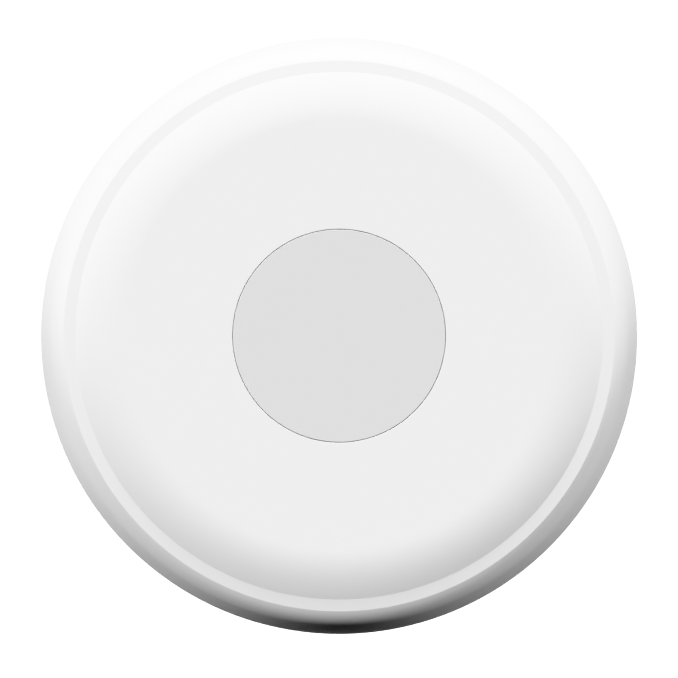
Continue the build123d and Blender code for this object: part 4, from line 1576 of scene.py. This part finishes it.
    def antenna(self) -> None:
        """The chip antenna: a ceramic block with a zigzag line on its top and metal ends.

        The line's corners lie by turns at one side and the other, and step along the block.
        """
        reach, (width, length) = Reach.of("antenna"), self.antenna_size
        body = block((width, length, reach.height), reach.low, 2 * self.edge, self.edge)
        dress("antenna_block", body.at("antenna"), ANTENNA_CERAMIC, "antenna")
        run, thin, tall = length / 2 - self.antenna_end, self.antenna_line, self.track_height
        along = np.repeat(np.linspace(-run, run, self.antenna_turns), 2)
        across = np.resize(np.array((-1, 1, 1, -1)), len(along)) * (width / 2 - 3 * thin)
        corners = np.stack((across, along, np.full(len(along), thin)), axis=1)
        line = strip(open_line(*corners), tall, thin, tall / 4).laid().moved(z=reach.high)
        size = (width + 2 * self.pin_proud, self.antenna_end, reach.height + self.pin_proud)
        end = block(size, reach.low, 2 * self.edge, self.edge)
        ends = end.paired((length - self.antenna_end) / 2 + self.pin_proud)
        dress("antenna_line", joined((line, ends)).at("antenna"), LEAD_TIN)

    def passives(
        self, node: str, size: Sequence[float], angles: Sequence[float], finish: Finish
    ) -> None:
        """Small parts with metal ends, which lie across the radius.

        Args:
            node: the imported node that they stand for.
            size: a part's width, length and height.
            angles: where they stand on their circle.
            finish: the finish between the ends.
        """
        circle, low = spot("power_chip")[0], Reach.of(node).low
        width, length, height = size
        cap, trim = self.metal_end_share * length, self.edge / 2
        body = block((width - 2 * trim, length - cap, height - 2 * trim), low + trim, trim, trim)
        end = block((width, cap, height), low, self.edge, self.edge)
        dress(f"{node}_bodies", body.around(angles, circle), finish, node)
        dress(f"{node}_ends", end.paired((length - cap) / 2).around(angles, circle), LEAD_TIN)

    def arc(self, radius: float, start: float, end: float) -> Form:
        """A track that follows a circle about the axis.

        Args:
            radius: the circle's radius.
            start: its first angle in degrees.
            end: its last angle.

        Returns:
            The track.
        """
        low, half = Reach.of("circuit_board").high, self.track_width / 2
        outline = rounded(band(radius - half, radius + half, low, low + self.track_height))
        steps = max(self.least_arc_steps, round((end - start) / self.arc_step))
        return turned(outline, np.radians(np.linspace(start, end, steps)))

    def spoke(self, inner: float, outer: float) -> Form:
        """A straight track along X.

        Args:
            inner: its nearest distance from the axis.
            outer: its farthest distance.

        Returns:
            The track.
        """
        size = (outer - inner, self.track_width, self.spoke_height_share * self.track_height)
        low = Reach.of("circuit_board").high
        track = block(size, low, self.track_width / 4, self.track_height / 4)
        return track.moved((inner + outer) / 2)

    def tracks(self) -> None:
        """The tracks: arcs about the axis, and spokes from the parts and the switch to them."""
        circle, lead = spot("power_chip")[0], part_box("switch_terminals")[1]
        forms = [self.arc(*arc) for arc in self.arcs]
        angles = np.array(self.capacitor_angles + self.resistor_angles)
        outward = angles[(angles < self.bare_angles[0]) | (angles > self.bare_angles[1])]
        forms.append(self.spoke(self.inner_circle, circle).around(angles - self.spoke_offset))
        forms.append(self.spoke(circle, self.outer_circle).around(outward + self.spoke_offset))
        corner = float(np.degrees(np.arctan2(lead.y, lead.x)))
        corners = (corner, 180 - corner, 180 + corner, -corner)
        forms.append(self.spoke(lead.length / 2, self.inner_circle).around(corners))
        dress("board_tracks", joined(forms), TRACK_COPPER)

    def lands(self) -> None:
        """The gold lands under the small parts, and round the screws' holes."""
        low, thin, screws = Reach.of("circuit_board").high, self.track_height, Screws()
        wide, long, tall = self.land_shares
        sizes = (self.capacitor_size, self.resistor_size)
        forms = []
        for (width, length, _), angles in zip(sizes, (self.capacitor_angles, self.resistor_angles)):
            land = block((width * wide, length * long, thin * tall), low, self.edge, thin / 4)
            pair = land.paired(length * self.land_place_share)
            forms.append(pair.around(angles, spot("power_chip")[0]))
        inner = FrontCover().boss_radius + self.hole_land_gap
        hole = ring(*band(inner, inner + self.hole_land_width, low, low + thin), steps=SMALL_STEPS)
        forms.append(hole.around(screws.angles, screws.circle()))
        dress("board_lands", joined(forms), PAD_GOLD)

    def build(self) -> None:
        """Makes everything on the board."""
        self.chip("radio_chip", self.radio_side, pins=8)
        self.chip("power_chip", self.power_side, pins=4)
        self.shield()
        self.crystal()
        self.led()
        self.antenna()
        self.passives("capacitors", self.capacitor_size, self.capacitor_angles, CAPACITOR_CERAMIC)
        self.passives("resistors", self.resistor_size, self.resistor_angles, RESISTOR_FILM)
        self.tracks()
        self.lands()


@dataclass(frozen=True)
class Light:
    """A broad soft light. Azimuth is from +X towards +Y, and height is above the horizon.

    A light from below the horizon is what a pale floor throws back.
    """

    azimuth: float
    height: float
    width: float
    strength: float
    shine: bool = True


@dataclass(frozen=True)
class Studio:
    """The camera, the lights, the floor and how the picture's tones are shown.

    The disc's middle and radius in the photograph are in pixels of its 678 by 678 frame.
    """

    frame_pixels: float = 678.0
    disc_x: float = 338.65
    disc_y: float = 335.35
    disc_radius: float = 298.7
    lens: float = 1.0
    sensor: float = 0.036
    rim_height: float = 8.0 * MM
    floor_radius: float = 30.0
    floor_white: float = 0.6
    floor_glow: float = 2.6
    far_glow: float = 0.33
    fade_start: float = 42 * MM
    fade_end: float = 75 * MM
    shade_glow: float = 0.5
    shade_inset: float = 0.3 * MM
    knee: float = 0.65
    full_white: float = 2.6
    curve_steps: int = 28
    lights: tuple[Light, ...] = (
        Light(90, 10, 16, 1.21),
        Light(90, 20, 16, 0.045),
        Light(165, 32, 16, 0.615),
        Light(165, 20, 16, 0.28),
        Light(15, 32, 16, 0.435),
        Light(15, 20, 16, 0.2),
        Light(30, 44, 16, 0.05),
        Light(90, -60, 40, 0.03),
        Light(180, -60, 40, 0.045),
        Light(0, -60, 40, 0.04),
        Light(270, -79, 40, 0.06, shine=False),
        Light(270, -85, 30, 0.9, shine=False),
    )

    def camera(self) -> None:
        """A far camera straight above, which sees the disc where the photograph has it."""
        pixel = Reach.of("front_cover").radius / self.disc_radius
        middle = (self.frame_pixels - 1) / 2
        data = bpy.data.cameras.new("camera")
        data.lens, data.sensor_width = self.lens / MM, self.sensor / MM
        away = self.frame_pixels * pixel * self.lens / self.sensor
        data.clip_start, data.clip_end = away / 10, 4 * away
        camera = linked("camera", data)
        x, y = (middle - self.disc_x) * pixel, (self.disc_y - middle) * pixel
        camera.location = (x, y, away + self.rim_height)
        bpy.context.scene.camera = camera

    def lamps(self) -> None:
        """The soft lights, as suns with a wide disc, so that the floor is lit evenly."""
        reflected = COVER_WHITE.colour[0] / np.pi
        for number, light in enumerate(self.lights):
            data = bpy.data.lights.new(f"light_{number}", "SUN")
            data.energy = light.strength / reflected
            data.angle = np.radians(light.width)
            lamp = linked(data.name, data)
            azimuth, height = np.radians((light.azimuth, light.height))
            level = np.cos(height)
            towards = Vector((np.cos(azimuth) * level, np.sin(azimuth) * level, np.sin(height)))
            lamp.rotation_mode = "QUATERNION"
            lamp.rotation_quaternion = towards.to_track_quat("Z", "Y")
            lamp.location = towards
            lamp.visible_glossy = light.shine
        world = bpy.data.worlds.new("studio")
        world.use_nodes = True
        world.node_tree.nodes["Background"].inputs["Strength"].default_value = 0.0
        bpy.context.scene.world = world

    def glowing(self, name: str, glow: float) -> bpy.types.Material:
        """A matt white that glows.

        Args:
            name: the material's name.
            glow: how strongly it glows.

        Returns:
            The material.
        """
        paint = bpy.data.materials.new(name)
        paint.use_nodes = True
        looks = {
            "Base Color": (*grey(self.floor_white), 1),
            "Roughness": 1.0,
            "Specular IOR Level": 0.0,
            "Emission Color": (1, 1, 1, 1),
            "Emission Strength": glow,
        }
        feed(paint.node_tree.nodes["Principled BSDF"], looks)
        return paint

    def floor(self) -> None:
        """A pale floor that glows by itself, so that it stays white and throws nothing back.

        Its glow fades outwards to a pale grey. A thin disc just under the floor keeps the light
        from below off the underside.
        """
        data, side = bpy.data.meshes.new("floor"), self.floor_radius
        corners = [(-side, -side, 0), (side, -side, 0), (side, side, 0), (-side, side, 0)]
        data.from_pydata(corners, [], [(0, 1, 2, 3)])
        floor = linked("floor", data)
        paint = self.glowing("floor_white", self.floor_glow)
        tree = paint.node_tree
        place = add_node(tree, "TexCoord", {})["Object"]
        fade = {
            "Value": add_node(tree, "VectorMath", {0: place}, operation="LENGTH")["Value"],
            "From Min": self.fade_start,
            "From Max": self.fade_end,
            "To Min": self.floor_glow,
            "To Max": self.far_glow,
        }
        glow = add_node(tree, "MapRange", fade, interpolation_type="SMOOTHSTEP")["Result"]
        feed(tree.nodes["Principled BSDF"], {"Emission Strength": glow})
        data.materials.append(paint)
        floor.visible_diffuse = floor.visible_glossy = floor.visible_transmission = False
        floor.visible_shadow = False
        depth = self.shade_inset
        reach = Reach.of("rear_cover").radius - depth
        shade = mesh_object("floor_shade", ring(*band(0, reach, -2 * depth, -depth)))
        shade.data.materials.append(self.glowing("floor_shade_white", self.shade_glow))
        shade.visible_camera = False

    def tones(self) -> None:
        """Shows light as it is up to a knee, and brings stronger light ever closer to white.

        Above the knee k, light x is shown as k + (1 - k)(1 - exp(-(x - k) / (1 - k))).
        """
        settings = bpy.context.scene.view_settings
        settings.view_transform = "Standard"
        settings.use_curve_mapping = True
        light = np.append(0, np.linspace(self.knee / 2, self.full_white, self.curve_steps))
        room = 1 - self.knee
        bright = self.knee + room * (1 - np.exp((self.knee - light) / room))
        shown = np.where(light < self.knee, light, bright)
        shown[-1] = 1.0
        mapping = settings.curve_mapping
        mapping.white_level = grey(self.full_white)
        curve = mapping.curves[3]
        for number, (x, y) in enumerate(zip(light / self.full_white, shown)):
            point = curve.points[0] if number == 0 else curve.points.new(x, y)
            point.location = (x, y)
        curve.points.remove(curve.points[-1])
        mapping.update()

    def build(self) -> None:
        """Sets up the camera, the lights, the floor and the tones."""
        self.camera()
        self.lamps()
        self.floor()
        self.tones()
        LOG.info("studio: %d lights", len(self.lights))


def main() -> None:
    """Builds the sub-assemblies in order."""
    logging.basicConfig(level=logging.INFO, format="%(message)s")
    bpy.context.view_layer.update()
    parts = (
        Studio(), FrontCover(), Key(), ReturnBoot(), Screws(), Seals(), AdhesivePad(), CoinCell(),
        Contacts(), MAIN_SWITCH, PAIRING_SWITCH, BoardParts(),
    )
    for part in parts:
        part.build()
    dress_packed()


if __name__ == "__main__":
    main()
